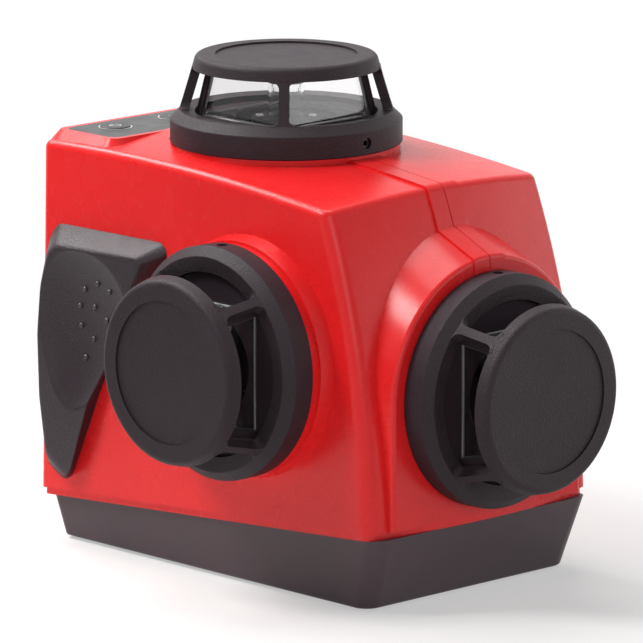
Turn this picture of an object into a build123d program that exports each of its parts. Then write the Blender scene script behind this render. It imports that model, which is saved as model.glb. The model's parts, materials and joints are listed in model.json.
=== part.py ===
"""Cross line laser level with three window turrets, as an assembly of separate pieces.

Millimetres, +Z up. The front faces -Y, the side turret faces -X, and the housing halves meet at X = 0.
The origin is the mouth of the tripod thread, which lies on the axis of the top turret.
"""
from build123d import *
import math
import os

# Fits and clearances
RUNNING_FIT = 0.04
SEAT_FIT = 0.02
LOOSE_FIT = 0.25
SLIDE_GAP = 0.2

# Housing: two shells that meet at X = 0, on a base with a sloping top
WALL = 2.6
SIDE_HALF = 42.0
SIDE_DRAFT = 0.0215
BACK_Y = 54.7
FRONT_Y = -78.6
FRONT_FOOT_Z = 13.4
FRONT_RADIUS = 243.0
FRONT_BOW = 205.0
TOP_Z = 113.1
TOP_CREST_Y = 29.2
TOP_RADIUS = 716.0
TOP_CROWN = 270.0
PARTING_Z = 14.9
PARTING_SLOPE = 0.066
FRONT_CORNER = 4.0
BACK_CORNER = 2.3
TOP_EDGE = 2.2
BAND_HALF = 5.7
BAND_RISE = 0.6
SEAM_HALF = 0.15
RIM_INSET = 1.0
RIM_HEIGHT = 2.0

# Base tray, feet and tripod thread
BASE_HALF = 38.0
BASE_FRONT_Y = -70.2
BASE_BACK_Y = 49.4
BASE_SIDE_FLARE = 0.11
BASE_FRONT_FLARE = 0.33
BASE_BACK_FLARE = 0.28
BASE_FRONT_CORNER = 5.0
BASE_BACK_CORNER = 2.6
BASE_EDGE = 1.0
BASE_WALL = 2.4
BASE_FLOOR = 3.0
FOOT_R = 6.0
FOOT_THICKNESS = 1.8
FOOT_PROUD = 0.8
FOOT_X = 27.0
FOOT_FRONT_Y = -59.0
FOOT_BACK_Y = 39.0
INSERT_R = 8.0
INSERT_LENGTH = 12.0
THREAD_R = 2.55
THREAD_LENGTH = 10.0
INSERT_WALL = 2.0

# Turrets: each has the same ring, struts, cap, glass and optics
RING_R = 31.5
RING_WALL_H = 6.3
RING_BORE = 24.8
DECK_R = 28.9
DECK_H = 8.8
DECK_DIP = 0.5
CAP_R = 25.5
CAP_FACE_R = 24.5
CAP_UNDER_H = 20.2
CAP_THICKNESS = 3.7
CAP_ROUND = 1.8
RING_ROUND = 0.4
CAP_RECESS_R = 19.25
CAP_RECESS = 0.5
STRUT_WIDTH = 2.6
STRUT_DEPTH = 2.7
STRUT_ROOT = 1.2
SPIGOT_WALL = 2.6
SPIGOT_H = 4.5
SEAT_WALL = 3.0
GASKET_THICKNESS = 0.8
FLOOR_THICKNESS = 1.5
FLOOR_HOLE_R = 13.6
POST_SIDE = 2.0
POST_FOOT_R = 23.2
POST_HEAD_R = 20.4
FRAME_HEAD = 1.4
PANE_THICKNESS = 0.9
SET_SCREW_R = 1.5
SET_SCREW_H = 3.2
SET_SCREW_RECESS = 0.9
SET_SCREW_HEX = 1.7

# Turret places: seat planes and axes
TOP_SEAT_Z = 112.0
SIDE_SEAT_X = -46.9
SIDE_AXIS_Y = -28.1
SIDE_AXIS_Z = 62.5
FRONT_SEAT_Y = -77.6
FRONT_AXIS_Z = 55.7
FRONT_BOSS_R = 35.2
FRONT_BOSS_TOP_FLARE = 0.45
FRONT_BOSS_SIDE_FLARE = 0.04
FRONT_BOSS_EDGE = 1.2
SIDE_BOSS_R = 31.7
SIDE_BOSS_FLARE = 0.25
NECK_R = 30.9
NECK_H = 2.5

# Grips on both sides
GRIP_THICK_TOP = 5.8
GRIP_THICK_FOOT = 3.6
GRIP_EDGE = 1.0
GRIP_FOOT = (
    (48.0, 88.0), (5.8, 88.4), (3.4, 85.6), (25.8, 53.6), (30.8, 42.6), (41.4, 18.2),
    (44.8, 16.7), (51.6, 20.5), (52.3, 40.0), (52.3, 58.0), (52.1, 72.0), (51.6, 83.5),
)
GRIP_CROWN = (
    (43.2, 83.0), (10.4, 84.1), (10.0, 81.4), (23.8, 53.9), (30.0, 43.3), (38.3, 20.7),
    (41.2, 19.3), (48.3, 24.0), (50.8, 39.7), (51.2, 57.4), (49.5, 71.1), (46.3, 80.5),
)
DISH_Y = 33.5
DISH_Z = 60.5
DISH_HALF_WIDTH = 15.0
DISH_HALF_HEIGHT = 21.5
DISH_DEPTH = 3.2
DISH_LEAN = -14.0

# Keypad on a flat plinth behind the top turret
PLINTH_Z = 112.6
PLINTH_HALF = 35.4
PLINTH_FRONT_Y = 30.6
PLINTH_BACK_Y = 53.9
PLINTH_FLARE_ANGLE = 42.0
PLINTH_CORNER = 3.0
PLINTH_CLEAR = 2.4
PLINTH_DEPTH = 5.0
PLINTH_WALL = 3.3
OVERLAY_MARGIN = 1.5
OVERLAY_THICKNESS = 0.8
BUTTON_R = 4.2
BUTTON_PITCH = 22.0
BUTTON_Y = 44.6
BUTTON_PROUD = 0.4
BUTTON_FLANGE = 1.0
BUTTON_FLANGE_H = 1.0
BUTTON_TRAVEL = 0.6
SWITCH_SIDE = 6.0
SWITCH_BODY = 1.5
SWITCH_HEIGHT = 2.5
BOARD_THICKNESS = 1.6
KEY_BOARD_HALF = 33.0
KEY_BOARD_DEPTH = 14.0
KEY_POST_X = 11.0

# Gimbal and pendulum
PIVOT_Y = -30.0
PIVOT_Z = 92.0
GIMBAL_R = 14.5
GIMBAL_BORE = 10.5
GIMBAL_HEIGHT = 9.0
EAR_START = 17.0
EAR_THICKNESS = 5.0
EAR_HALF = 6.0
PIN_R = 1.5
BEARING_R = 3.5
BEARING_WIDTH = 3.0
RACE_WALL = 0.65
RACE_GROOVE = 0.3
BRACKET_PLATE_Z = 101.5
BRACKET_PLATE = 3.0
BRACKET_SCREW_X = 10.0
BLOCK_HALF = 12.0
BLOCK_TOP_Z = 80.0
BLOCK_FOOT_Z = 46.0
SHELF_HALF = 10.0
SHELF_FOOT_Z = 61.0
SHELF_TOP_Z = 74.0
BARREL_R = 7.5
SOCKET_DEPTH = 12.0
BARREL_HEAD_H = 5.2
HEAD_R = 9.0
HEAD_THICKNESS = 1.3
HEAD_SCREW_PCD_R = 6.9
OPTIC_R = 4.6
OPTIC_WALL = 0.7
OPTIC_LENGTH = 8.4
MIRROR_CAP = 1.0
PLATE_HALF = 11.0
PLATE_THICKNESS = 3.0
WEIGHT_R = 8.0
WEIGHT_LENGTH = 17.9
WEIGHT_Y = -45.5
WEIGHT_Z = 60.0

# Damping magnets and pendulum lock under the pendulum
MAGNET_R = 4.0
MAGNET_THICKNESS = 3.0
MAGNET_GAP = 3.0
MAGNET_OFFSET_Y = 15.5
TOWER_HALF = 10.0
TOWER_DEPTH = 8.6
TOWER_FOOT = 3.0
LOCK_Z = 33.0
LOCK_SHAFT_R = 3.0
CAM_NOSE_R = 2.0
CAM_WIDTH = 8.0
CAM_GAP = 0.6
LOCK_END_X = -16.0
LOCK_POST_THICKNESS = 4.0
LOCK_POST_HALF = 6.0
KNOB_R = 12.0
KNOB_GAP = 0.6
KNOB_BASE = 3.0
KNOB_BAR = 4.5
KNOB_BAR_WIDTH = 6.0

# Battery compartment with a hinged door in the back
CELL_R = 7.25
CELL_LENGTH = 50.5
CELL_GAP = 0.5
HOLDER_WALL = 1.6
HOLDER_FOOT_Z = 20.5
HOLDER_FRONT_Y = 17.0
CONTACT_SPACE = 2.0
CONTACT_THICKNESS = 0.4
CONTACT_WIDTH = 9.0
RIB_X = 18.0
RIB_THICKNESS = 3.0
DOOR_MARGIN = 1.4
DOOR_THICKNESS = 2.4
DOOR_KNUCKLE_R = 2.0
DOOR_PIN_R = 0.9
DOOR_PIN_GRIP = 2.5
DOOR_GAP = 0.3
MAIN_BOARD_MARGIN = 0.85
MAIN_BOARD_HEIGHT = 60.0
STANDOFF_R = 2.6

# Fasteners
SCREW_R = 1.5
SCREW_HEAD_R = 2.8
SCREW_HEAD_H = 1.8
SCREW_LENGTH = 12.0
SMALL_SCREW_R = 1.0
SMALL_HEAD_R = 1.9
SMALL_HEAD_H = 1.1
SMALL_LENGTH = 6.0
TINY_SCREW_R = 0.6
TINY_HEAD_R = 1.1
TINY_HEAD_H = 0.6
TINY_LENGTH = 1.6
SLOT_WIDTH = 0.6
POST_R = 4.0
POST_CLEAR = 0.2
FRONT_POST_HEIGHTS = (84.0, 27.0)
BACK_POSTS = ((46.0, 97.0), (4.0, 25.0))
SCREW_SEAT = 5.0
BASE_POST_X = 31.5
BASE_POST_FRONT_Y = -42.0
BASE_POST_BACK_Y = 22.0
BASE_POST_HEIGHT = 6.8
BASE_SEAT = 5.5

# Derived places shared by several pieces
FAR = 400.0
JOIN_TOLERANCE = 0.001
SPIGOT_R = RING_BORE - SLIDE_GAP
SPIGOT_BORE = SPIGOT_R - SPIGOT_WALL
FLOOR_H = SPIGOT_H + GASKET_THICKNESS
GLASS_H = FLOOR_H + FLOOR_THICKNESS
HEAD_H = CAP_UNDER_H - FRAME_HEAD
CAP_H = CAP_UNDER_H + CAP_THICKNESS
STRUT_LEAN = (DECK_R - CAP_R) / (CAP_UNDER_H - DECK_H)
CAM_LIFT = BLOCK_FOOT_Z - PLATE_THICKNESS - CAM_GAP - LOCK_Z
LOWER_Y = PIVOT_Y - EAR_START - EAR_THICKNESS
UPPER_Y = PIVOT_Y + EAR_START + EAR_THICKNESS
HOLDER_IN_Y = 2 * (2 * CELL_R + CELL_GAP) + CELL_GAP
HOLDER_BACK_Y = HOLDER_FRONT_Y + HOLDER_WALL + HOLDER_IN_Y
HOLDER_IN_HALF = CELL_LENGTH / 2 + CONTACT_SPACE
HOLDER_HALF = HOLDER_IN_HALF + HOLDER_WALL
HOLDER_TOP_Z = HOLDER_FOOT_Z + 2 * HOLDER_WALL + HOLDER_IN_Y
DOOR_HALF = HOLDER_HALF + DOOR_MARGIN
DOOR_FOOT_Z = HOLDER_FOOT_Z - DOOR_MARGIN
DOOR_TOP_Z = HOLDER_TOP_Z + DOOR_MARGIN
DOOR_PIN_REACH = DOOR_HALF + DOOR_GAP + DOOR_PIN_GRIP
DOOR_AXIS_Y = BACK_Y - DOOR_KNUCKLE_R
DOOR_AXIS_Z = DOOR_FOOT_Z + DOOR_KNUCKLE_R
MAIN_BOARD_HALF = HOLDER_HALF - MAIN_BOARD_MARGIN
MAIN_BOARD_Y = HOLDER_FRONT_Y - HOLDER_WALL - BOARD_THICKNESS
OVERLAY_Z = PLINTH_Z - OVERLAY_THICKNESS
PLINTH_UNDER_Z = OVERLAY_Z - PLINTH_WALL
FLANGE_TOP_Z = PLINTH_UNDER_Z - LOOSE_FIT
FLANGE_FOOT_Z = FLANGE_TOP_Z - BUTTON_FLANGE_H
SWITCH_TOP_Z = FLANGE_FOOT_Z - BUTTON_TRAVEL - SLIDE_GAP
KEY_BOARD_Z = SWITCH_TOP_Z - SWITCH_HEIGHT
MAGNET_TOP_Z = BLOCK_FOOT_Z - PLATE_THICKNESS - MAGNET_GAP

PARTING = Plane((0, 0, PARTING_Z), x_dir=(1, 0, 0), z_dir=(0, PARTING_SLOPE, 1))
RIM_TOP = PARTING.offset(RIM_HEIGHT)
TURRETS = {
    "top": Pos(0, 0, TOP_SEAT_Z),
    "side": Pos(SIDE_SEAT_X, SIDE_AXIS_Y, SIDE_AXIS_Z) * Rot(0, -90, 0) * Rot(0, 0, -90),
    "front": Pos(0, FRONT_SEAT_Y, FRONT_AXIS_Z) * Rot(90, 0, 0),
}
BARREL_ROOTS = {
    "top": TOP_SEAT_Z - SHELF_TOP_Z,
    "side": -SIDE_SEAT_X - BLOCK_HALF,
    "front": LOWER_Y - FRONT_SEAT_Y,
}
ALONG_X = Rot(0, 90, 0)
ALONG_MINUS_X = Rot(0, -90, 0)
ALONG_Y = Rot(-90, 0, 0)
ALONG_MINUS_Y = Rot(90, 0, 0)
ON_BOTTOM = (Align.CENTER, Align.CENTER, Align.MIN)


def parting_z(y):
    """Height of the joint between the housing and the base at a place along Y."""
    return PARTING_Z - PARTING_SLOPE * y


def side_x(z):
    """Half width of the housing at a height."""
    return SIDE_HALF - SIDE_DRAFT * z


def turned(*points):
    """Solid of revolution about Z from (radius, height) points."""
    return revolve(make_face(Plane.XZ * Polyline(*points, close=True)), Axis.Z)


def rod(radius, length, place=Location()):
    """Cylinder that starts at a place and runs along that place's Z."""
    return place * Cylinder(radius, length, align=ON_BOTTOM)


def washer(bore, radius, low, height):
    """Flat ring about Z."""
    return rod(radius, height, Pos(0, 0, low)) - rod(bore, height, Pos(0, 0, low))


def block(x, y, z):
    """Box between the low and high values given for each axis."""
    size = (x[1] - x[0], y[1] - y[0], z[1] - z[0])
    return Pos(x[0], y[0], z[0]) * Box(*size, align=(Align.MIN, Align.MIN, Align.MIN))


def half_space(plane, above):
    """Large box on one side of a plane."""
    slab = Pos(0, 0, FAR / 2 if above else -FAR / 2) * Box(FAR, FAR, FAR)
    return plane.location * slab


def side_block(grow=0.0, rounded=False):
    """Drafted block between the side walls, far ahead of the front; its back corners may be round."""
    low, high = -FAR / 20, TOP_Z + FAR / 10
    section = Polyline(
        (side_x(low) + grow, low), (side_x(high) + grow, high),
        (-side_x(high) - grow, high), (-side_x(low) - grow, low), close=True,
    )
    body = extrude(Plane.XZ.offset(-BACK_Y - grow) * make_face(section), BACK_Y - FRONT_Y + FAR / 10)
    if rounded:
        back = body.faces().sort_by(Axis.Y)[-1].edges()
        body = fillet(back.filter_by(lambda e: abs(e.tangent_at(0).Z) > 0.9), BACK_CORNER + grow)
    return body


def envelope(grow=0.0, rounded=True):
    """Form of the red housing without its bosses, moved outwards by grow."""
    body = side_block(grow, rounded)
    ahead = Rectangle(FAR / 2, FAR) - Pos(FRONT_RADIUS) * Circle(FRONT_RADIUS + grow)
    ahead = Pos(FRONT_Y, FRONT_FOOT_Z) * ahead
    sweep = math.degrees(FAR / 4 / FRONT_BOW)
    pivot = Axis((0, FRONT_Y + FRONT_BOW, 0), (0, 0, 1))
    body -= revolve((Plane.YZ * ahead).rotate(pivot, -sweep), pivot, 2 * sweep)
    over = Rectangle(FAR / 2, FAR / 4) - Pos(0, -TOP_CROWN) * Circle(TOP_CROWN + grow)
    over = Pos(0, TOP_Z) * over
    sweep = math.degrees(FAR / 2 / TOP_RADIUS)
    pivot = Axis((0, TOP_CREST_Y, TOP_Z - TOP_RADIUS), (1, 0, 0))
    crown = Plane((0, TOP_CREST_Y, 0), x_dir=(1, 0, 0), z_dir=(0, -1, 0))
    body -= revolve((crown * over).rotate(pivot, -sweep), pivot, 2 * sweep)
    if rounded:
        lean = body.edges().filter_by(lambda e: abs(e.tangent_at(0.5).Z) > 0.8)
        body = fillet(lean.filter_by(lambda e: e.center().Y < FRONT_Y + FAR / 10), FRONT_CORNER + grow)
        body = fillet(body.faces().sort_by(lambda f: f.center().Z)[-1].edges(), TOP_EDGE + grow)
    return body


def plinth_outline(grow):
    """Outline of the keypad plinth: a rounded oblong, hollowed round the top turret's ring."""
    depth = PLINTH_BACK_Y - PLINTH_FRONT_Y + 2 * grow
    oblong = RectangleRounded(2 * (PLINTH_HALF + grow), depth, PLINTH_CORNER + max(grow, 0))
    return Pos(0, (PLINTH_BACK_Y + PLINTH_FRONT_Y) / 2) * oblong - Circle(RING_R + PLINTH_CLEAR - grow)


def boss_form(rise=0.0):
    """Front boss: an arch with straight legs, whose roof climbs from the seat into the leaning front."""
    sections = []
    for depth in (-rise / 2, PIVOT_Y - EAR_START - FRONT_SEAT_Y):
        half = FRONT_BOSS_R + rise + FRONT_BOSS_SIDE_FLARE * depth
        height = FRONT_BOSS_R + rise + FRONT_BOSS_TOP_FLARE * depth
        roof = EllipticalCenterArc((0, 0), half, height, start_angle=0, arc_size=180)
        legs = Polyline((-half, 0), (-half, -FRONT_AXIS_Z), (half, -FRONT_AXIS_Z), (half, 0))
        sections.append(TURRETS["front"] * Pos(0, 0, -depth) * make_face([roof, *legs.edges()]))
    arch = loft(sections, ruled=True)
    rim = arch.faces().sort_by(Axis.Y)[0].edges().filter_by(lambda e: e.center().Z > WALL)
    return fillet(rim, FRONT_BOSS_EDGE)


def housing():
    """The red housing as one piece, before it is parted at X = 0."""
    outer = envelope() & half_space(RIM_TOP, True)
    outer += boss_form() & half_space(RIM_TOP, True)
    band = boss_form(BAND_RISE) + envelope(BAND_RISE)
    for x in ((-BAND_HALF, -SEAM_HALF), (SEAM_HALF, BAND_HALF)):
        outer += band & block(x, (FRONT_SEAT_Y - WALL, 0), (FRONT_AXIS_Z, TOP_Z + WALL))
    side_depth = -SIDE_SEAT_X - side_x(SIDE_AXIS_Z) + WALL
    side_root = SIDE_BOSS_R + SIDE_BOSS_FLARE * (side_depth - NECK_H)
    outer += TURRETS["side"] * turned(
        (0, 0), (NECK_R, 0), (NECK_R, -NECK_H), (SIDE_BOSS_R, -NECK_H),
        (side_root, -side_depth), (0, -side_depth),
    )
    outer += TURRETS["top"] * rod(NECK_R, 3 * NECK_H, Pos(0, 0, -3 * NECK_H))
    spread = PLINTH_DEPTH * math.tan(math.radians(PLINTH_FLARE_ANGLE))
    deck = Pos(0, 0, PLINTH_Z) * plinth_outline(0)
    plinth = extrude(deck, -PLINTH_DEPTH, taper=-PLINTH_FLARE_ANGLE) & side_block(-SLIDE_GAP, True)
    outer = outer.fuse(plinth, tol=JOIN_TOLERANCE) - extrude(deck, WALL)
    outer += envelope(-RIM_INSET) & half_space(PARTING, True)
    outer &= half_space(PARTING, True)

    cavity = envelope(-WALL, False)
    keypad_y = (PLINTH_FRONT_Y - spread, BACK_Y)
    cavity -= block((-SIDE_HALF, SIDE_HALF), keypad_y, (PLINTH_UNDER_Z, TOP_Z))
    cavity -= TURRETS["top"] * rod(RING_R, 2 * SEAT_WALL, Pos(0, 0, -SEAT_WALL))
    body = outer - cavity
    body -= TURRETS["side"] * rod(SIDE_BOSS_R - WALL, side_depth, Pos(0, 0, -SEAT_WALL - side_depth))
    hollow = Pos(0, 0, -SEAT_WALL - SOCKET_DEPTH)
    body -= TURRETS["front"] * rod(FRONT_BOSS_R - WALL, SOCKET_DEPTH, hollow)
    for place in TURRETS.values():
        body -= place * rod(RING_R + LOOSE_FIT, DECK_H)
        body += place * rod(SPIGOT_R, SPIGOT_H + SEAT_WALL, Pos(0, 0, -SEAT_WALL))
        body -= place * rod(SPIGOT_BORE, SPIGOT_H + 2 * SEAT_WALL, Pos(0, 0, -2 * SEAT_WALL))
    return body


def housing_fittings():
    """Posts, ears and bosses inside the housing, and the holes that go through them."""
    inside = envelope(-WALL / 2, False) & half_space(PARTING, True)
    posts = Part()
    holes = Part()
    for y, z in shell_post_places():
        seat = Pos(SCREW_SEAT, y, z)
        posts += rod(POST_R, 2 * SIDE_HALF, Pos(-SIDE_HALF, y, z) * ALONG_X)
        holes += rod(SCREW_R + SEAT_FIT, SCREW_LENGTH + SLIDE_GAP, seat * ALONG_MINUS_X)
        holes += rod(SCREW_R + LOOSE_FIT, SCREW_SEAT, seat * ALONG_MINUS_X)
        holes += rod(SCREW_HEAD_R + LOOSE_FIT, SIDE_HALF, seat * ALONG_X)
    for x, y in base_post_places():
        top = parting_z(y) + BASE_POST_HEIGHT
        foot = parting_z(y) - BASE_SEAT
        wall_x = math.copysign(SIDE_HALF, x)
        posts += rod(POST_R, top - foot, Pos(x, y, foot))
        posts += block(sorted((x, wall_x)), (y - RIB_THICKNESS / 2, y + RIB_THICKNESS / 2), (foot, top))
        holes += rod(SCREW_R + SEAT_FIT, SCREW_LENGTH + SLIDE_GAP, Pos(x, y, foot))
    for x in (-BRACKET_SCREW_X, BRACKET_SCREW_X):
        foot = Pos(x, PIVOT_Y, BRACKET_PLATE_Z + BRACKET_PLATE)
        posts += rod(POST_R, TOP_Z - BRACKET_PLATE_Z - BRACKET_PLATE, foot)
        holes += rod(SMALL_SCREW_R + SEAT_FIT, SMALL_LENGTH - BRACKET_PLATE + SLIDE_GAP, foot)
    for x in (-KEY_POST_X, KEY_POST_X):
        foot = Pos(x, BUTTON_Y, KEY_BOARD_Z)
        posts += rod(STANDOFF_R, PLINTH_UNDER_Z + WALL / 2 - KEY_BOARD_Z, foot)
        holes += rod(SMALL_SCREW_R + SEAT_FIT, SMALL_LENGTH - BOARD_THICKNESS + SLIDE_GAP, foot)
    ear_x = (DOOR_HALF + DOOR_GAP, DOOR_PIN_REACH + WALL)
    ear_y = (DOOR_AXIS_Y - 2 * DOOR_KNUCKLE_R, BACK_Y - WALL / 2)
    ear_z = (DOOR_AXIS_Z - 2 * DOOR_KNUCKLE_R, DOOR_AXIS_Z + 2 * DOOR_KNUCKLE_R)
    ear = block(ear_x, ear_y, ear_z)
    posts += ear
    posts += mirror(ear, Plane.YZ)
    pin_start = Pos(-DOOR_PIN_REACH, DOOR_AXIS_Y, DOOR_AXIS_Z) * ALONG_X
    holes += rod(DOOR_PIN_R + SEAT_FIT, 2 * DOOR_PIN_REACH, pin_start)
    door_x = (-DOOR_HALF - DOOR_GAP, DOOR_HALF + DOOR_GAP)
    holes += block(door_x, (HOLDER_BACK_Y, BACK_Y + WALL), (DOOR_FOOT_Z - DOOR_GAP, DOOR_TOP_Z + DOOR_GAP))
    holes += Pos(0, 0, OVERLAY_Z) * extrude(plinth_outline(-OVERLAY_MARGIN + SEAT_FIT), WALL)
    for x in button_places():
        holes += rod(BUTTON_R + LOOSE_FIT, 2 * PLINTH_WALL, Pos(x, BUTTON_Y, SWITCH_TOP_Z))
        pocket = Pos(x, BUTTON_Y, SWITCH_TOP_Z)
        holes += rod(BUTTON_R + 2 * BUTTON_FLANGE, PLINTH_UNDER_Z - SWITCH_TOP_Z, pocket)
    holes += rod(LOCK_SHAFT_R + RUNNING_FIT, SIDE_HALF, Pos(SIDE_HALF / 2, PIVOT_Y, LOCK_Z) * ALONG_X)
    return posts & inside, holes


def button_places():
    """X of each keypad button."""
    return (-BUTTON_PITCH, 0, BUTTON_PITCH)


def shell_post_places():
    """Y and Z of each screw that closes the housing; the front ones stand clear of the bowed front."""
    bow = FRONT_BOW - math.sqrt(FRONT_BOW**2 - SIDE_HALF**2)
    places = list(BACK_POSTS)
    for z in FRONT_POST_HEIGHTS:
        lean = FRONT_RADIUS - math.sqrt(FRONT_RADIUS**2 - (z - FRONT_FOOT_Z) ** 2)
        places.append((FRONT_Y + bow + lean + WALL / 2 + POST_R + POST_CLEAR, z))
    return places


def base_post_places():
    """X and Y of each screw that holds the base to the housing."""
    return [(x, y) for x in (-BASE_POST_X, BASE_POST_X) for y in (BASE_POST_FRONT_Y, BASE_POST_BACK_Y)]


def shells():
    """Left and right halves of the housing."""
    posts, holes = housing_fittings()
    whole = housing() + posts - holes
    right = whole & block((0, FAR), (-FAR, FAR), (-FAR, FAR))
    left = whole & block((-FAR, 0), (-FAR, FAR), (-FAR, FAR))
    return left, right


def base_form(grow, low, high):
    """Flared oblong of the base between two heights."""
    faces = []
    for z in (low, high):
        front = BASE_FRONT_Y - BASE_FRONT_FLARE * z - grow
        back = BASE_BACK_Y + BASE_BACK_FLARE * z + grow
        half = BASE_HALF + BASE_SIDE_FLARE * z + grow
        outline = Rectangle(2 * half, back - front)
        corners = outline.vertices().sort_by(Axis.Y)
        outline = fillet(corners[:2], BASE_FRONT_CORNER + grow)
        outline = fillet(outline.vertices().sort_by(Axis.Y)[-2:], BASE_BACK_CORNER + grow)
        faces.append(Pos(0, (front + back) / 2, z) * outline)
    return loft(faces)


def base_tray():
    """Hollow base with thread boss, screw bosses, foot recesses and ribs under the battery holder."""
    top = parting_z(BASE_FRONT_Y) + BASE_FLOOR
    form = base_form(0, 0, top)
    form = fillet(form.faces().sort_by(Axis.Z)[0].edges(), BASE_EDGE)
    tray = form - base_form(-BASE_WALL, BASE_FLOOR, top + BASE_FLOOR)
    bosses = rod(INSERT_R + INSERT_WALL, INSERT_LENGTH + INSERT_WALL)
    for x, y in base_post_places():
        bosses += rod(POST_R, top, Pos(x, y, 0))
    tray = (tray + (bosses & form)) & half_space(PARTING, False)
    for x in (-RIB_X, RIB_X):
        rib_x = (x - RIB_THICKNESS / 2, x + RIB_THICKNESS / 2)
        tray += block(rib_x, (HOLDER_FRONT_Y, HOLDER_BACK_Y - HOLDER_WALL), (0, HOLDER_FOOT_Z))
    tray -= rod(INSERT_R + SEAT_FIT, INSERT_LENGTH)
    for x, y in base_post_places():
        tray -= rod(SCREW_R + LOOSE_FIT, top, Pos(x, y, 0))
        tray -= rod(SCREW_HEAD_R + LOOSE_FIT, parting_z(y) - BASE_SEAT, Pos(x, y, 0))
    for x, y in foot_places():
        tray -= rod(FOOT_R + SEAT_FIT, FOOT_THICKNESS - FOOT_PROUD, Pos(x, y, 0))
    return tray


def foot_places():
    """X and Y of each rubber foot."""
    return [(x, y) for x in (-FOOT_X, FOOT_X) for y in (FOOT_FRONT_Y, FOOT_BACK_Y)]


def rubber_feet():
    """Four discs in the underside of the base."""
    foot = rod(FOOT_R, FOOT_THICKNESS, Pos(0, 0, -FOOT_PROUD))
    foot = chamfer(foot.edges().sort_by(Axis.Z)[:1], FOOT_PROUD / 2)
    return [Pos(x, y, 0) * foot for x, y in foot_places()]


def tripod_insert():
    """Brass thread insert, modelled at its tapping bore."""
    return rod(INSERT_R, INSERT_LENGTH) - rod(THREAD_R, THREAD_LENGTH)


def pan_screw(radius, head_radius, head_height, length):
    """Pan head screw with a cross slot: head above Z = 0, thread below."""
    head = rod(head_radius, head_height)
    head = fillet(head.edges().sort_by(Axis.Z)[-1:], head_height / 2)
    for turn in (0, 90):
        head -= Rot(0, 0, turn) * Pos(0, 0, head_height) * Box(head_radius, SLOT_WIDTH, head_height)
    return head + rod(radius, length, Pos(0, 0, -length))


def case_screws():
    """Screws that close the housing halves and hold the base."""
    screw = pan_screw(SCREW_R, SCREW_HEAD_R, SCREW_HEAD_H, SCREW_LENGTH)
    closing = [Pos(SCREW_SEAT, y, z) * ALONG_X * screw for y, z in shell_post_places()]
    holding = [Pos(x, y, parting_z(y) - BASE_SEAT) * Rot(180, 0, 0) * screw for x, y in base_post_places()]
    return closing + holding


def small_screw_places():
    """Places of the small screws: gimbal bracket, key board and main board."""
    places = []
    for x, y, z in (
        (BRACKET_SCREW_X, PIVOT_Y, BRACKET_PLATE_Z),
        (KEY_POST_X, BUTTON_Y, KEY_BOARD_Z - BOARD_THICKNESS),
    ):
        places += [Pos(side * x, y, z) * Rot(180, 0, 0) for side in (-1, 1)]
    return places + [Pos(x, MAIN_BOARD_Y, z) * ALONG_MINUS_Y for x, z in main_board_places()]


def small_screws():
    """Screws inside the housing."""
    screw = pan_screw(SMALL_SCREW_R, SMALL_HEAD_R, SMALL_HEAD_H, SMALL_LENGTH)
    return [place * screw for place in small_screw_places()]


def grip():
    """Left rubber grip with a thumb dish, seated on the side wall."""
    foot_z, top_z = GRIP_CROWN[6][1], GRIP_CROWN[1][1]

    def crown_x(z):
        share = (z - foot_z) / (top_z - foot_z)
        return -side_x(z) - GRIP_THICK_FOOT - share * (GRIP_THICK_TOP - GRIP_THICK_FOOT)

    inner = make_face(Polyline(*[(-side_x(z) + WALL, y, z) for y, z in GRIP_FOOT], close=True))
    crown = make_face(Polyline(*[(crown_x(z), y, z) for y, z in GRIP_CROWN], close=True))
    pad = loft([inner, crown], ruled=True)
    pad = fillet(pad.faces().sort_by(Axis.X)[0].edges(), GRIP_EDGE)
    dish = scale(Sphere(1), by=(DISH_DEPTH, DISH_HALF_WIDTH, DISH_HALF_HEIGHT))
    pad -= Pos(crown_x(DISH_Z), DISH_Y, DISH_Z) * Rot(DISH_LEAN, 0, 0) * dish
    return pad - envelope()


def keypad_overlay():
    """Dark sheet on the plinth with a hole for each button."""
    sheet = Pos(0, 0, OVERLAY_Z) * extrude(plinth_outline(-OVERLAY_MARGIN), OVERLAY_THICKNESS)
    for x in button_places():
        sheet -= rod(BUTTON_R + LOOSE_FIT, OVERLAY_THICKNESS, Pos(x, BUTTON_Y, OVERLAY_Z))
    return sheet


def button():
    """Round key with a flange that keeps it under the plinth."""
    key = rod(BUTTON_R, PLINTH_Z + BUTTON_PROUD - FLANGE_FOOT_Z, Pos(0, BUTTON_Y, FLANGE_FOOT_Z))
    key = fillet(key.edges().sort_by(Axis.Z)[-1:], BUTTON_PROUD)
    return key + rod(BUTTON_R + BUTTON_FLANGE, BUTTON_FLANGE_H, Pos(0, BUTTON_Y, FLANGE_FOOT_Z))


def key_board():
    """Circuit board under the keys."""
    half_depth = KEY_BOARD_DEPTH / 2
    board = block((-KEY_BOARD_HALF, KEY_BOARD_HALF), (BUTTON_Y - half_depth, BUTTON_Y + half_depth),
                  (KEY_BOARD_Z - BOARD_THICKNESS, KEY_BOARD_Z))
    for x in (-KEY_POST_X, KEY_POST_X):
        foot = Pos(x, BUTTON_Y, KEY_BOARD_Z - BOARD_THICKNESS)
        board -= rod(SMALL_SCREW_R + LOOSE_FIT, BOARD_THICKNESS, foot)
    return board


def key_switches():
    """Tactile switches on the key board."""
    switch = Box(SWITCH_SIDE, SWITCH_SIDE, SWITCH_BODY, align=ON_BOTTOM)
    switch += rod(SWITCH_SIDE / 4, SWITCH_HEIGHT)
    return [Pos(x, BUTTON_Y, KEY_BOARD_Z) * switch for x in button_places()]


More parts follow.
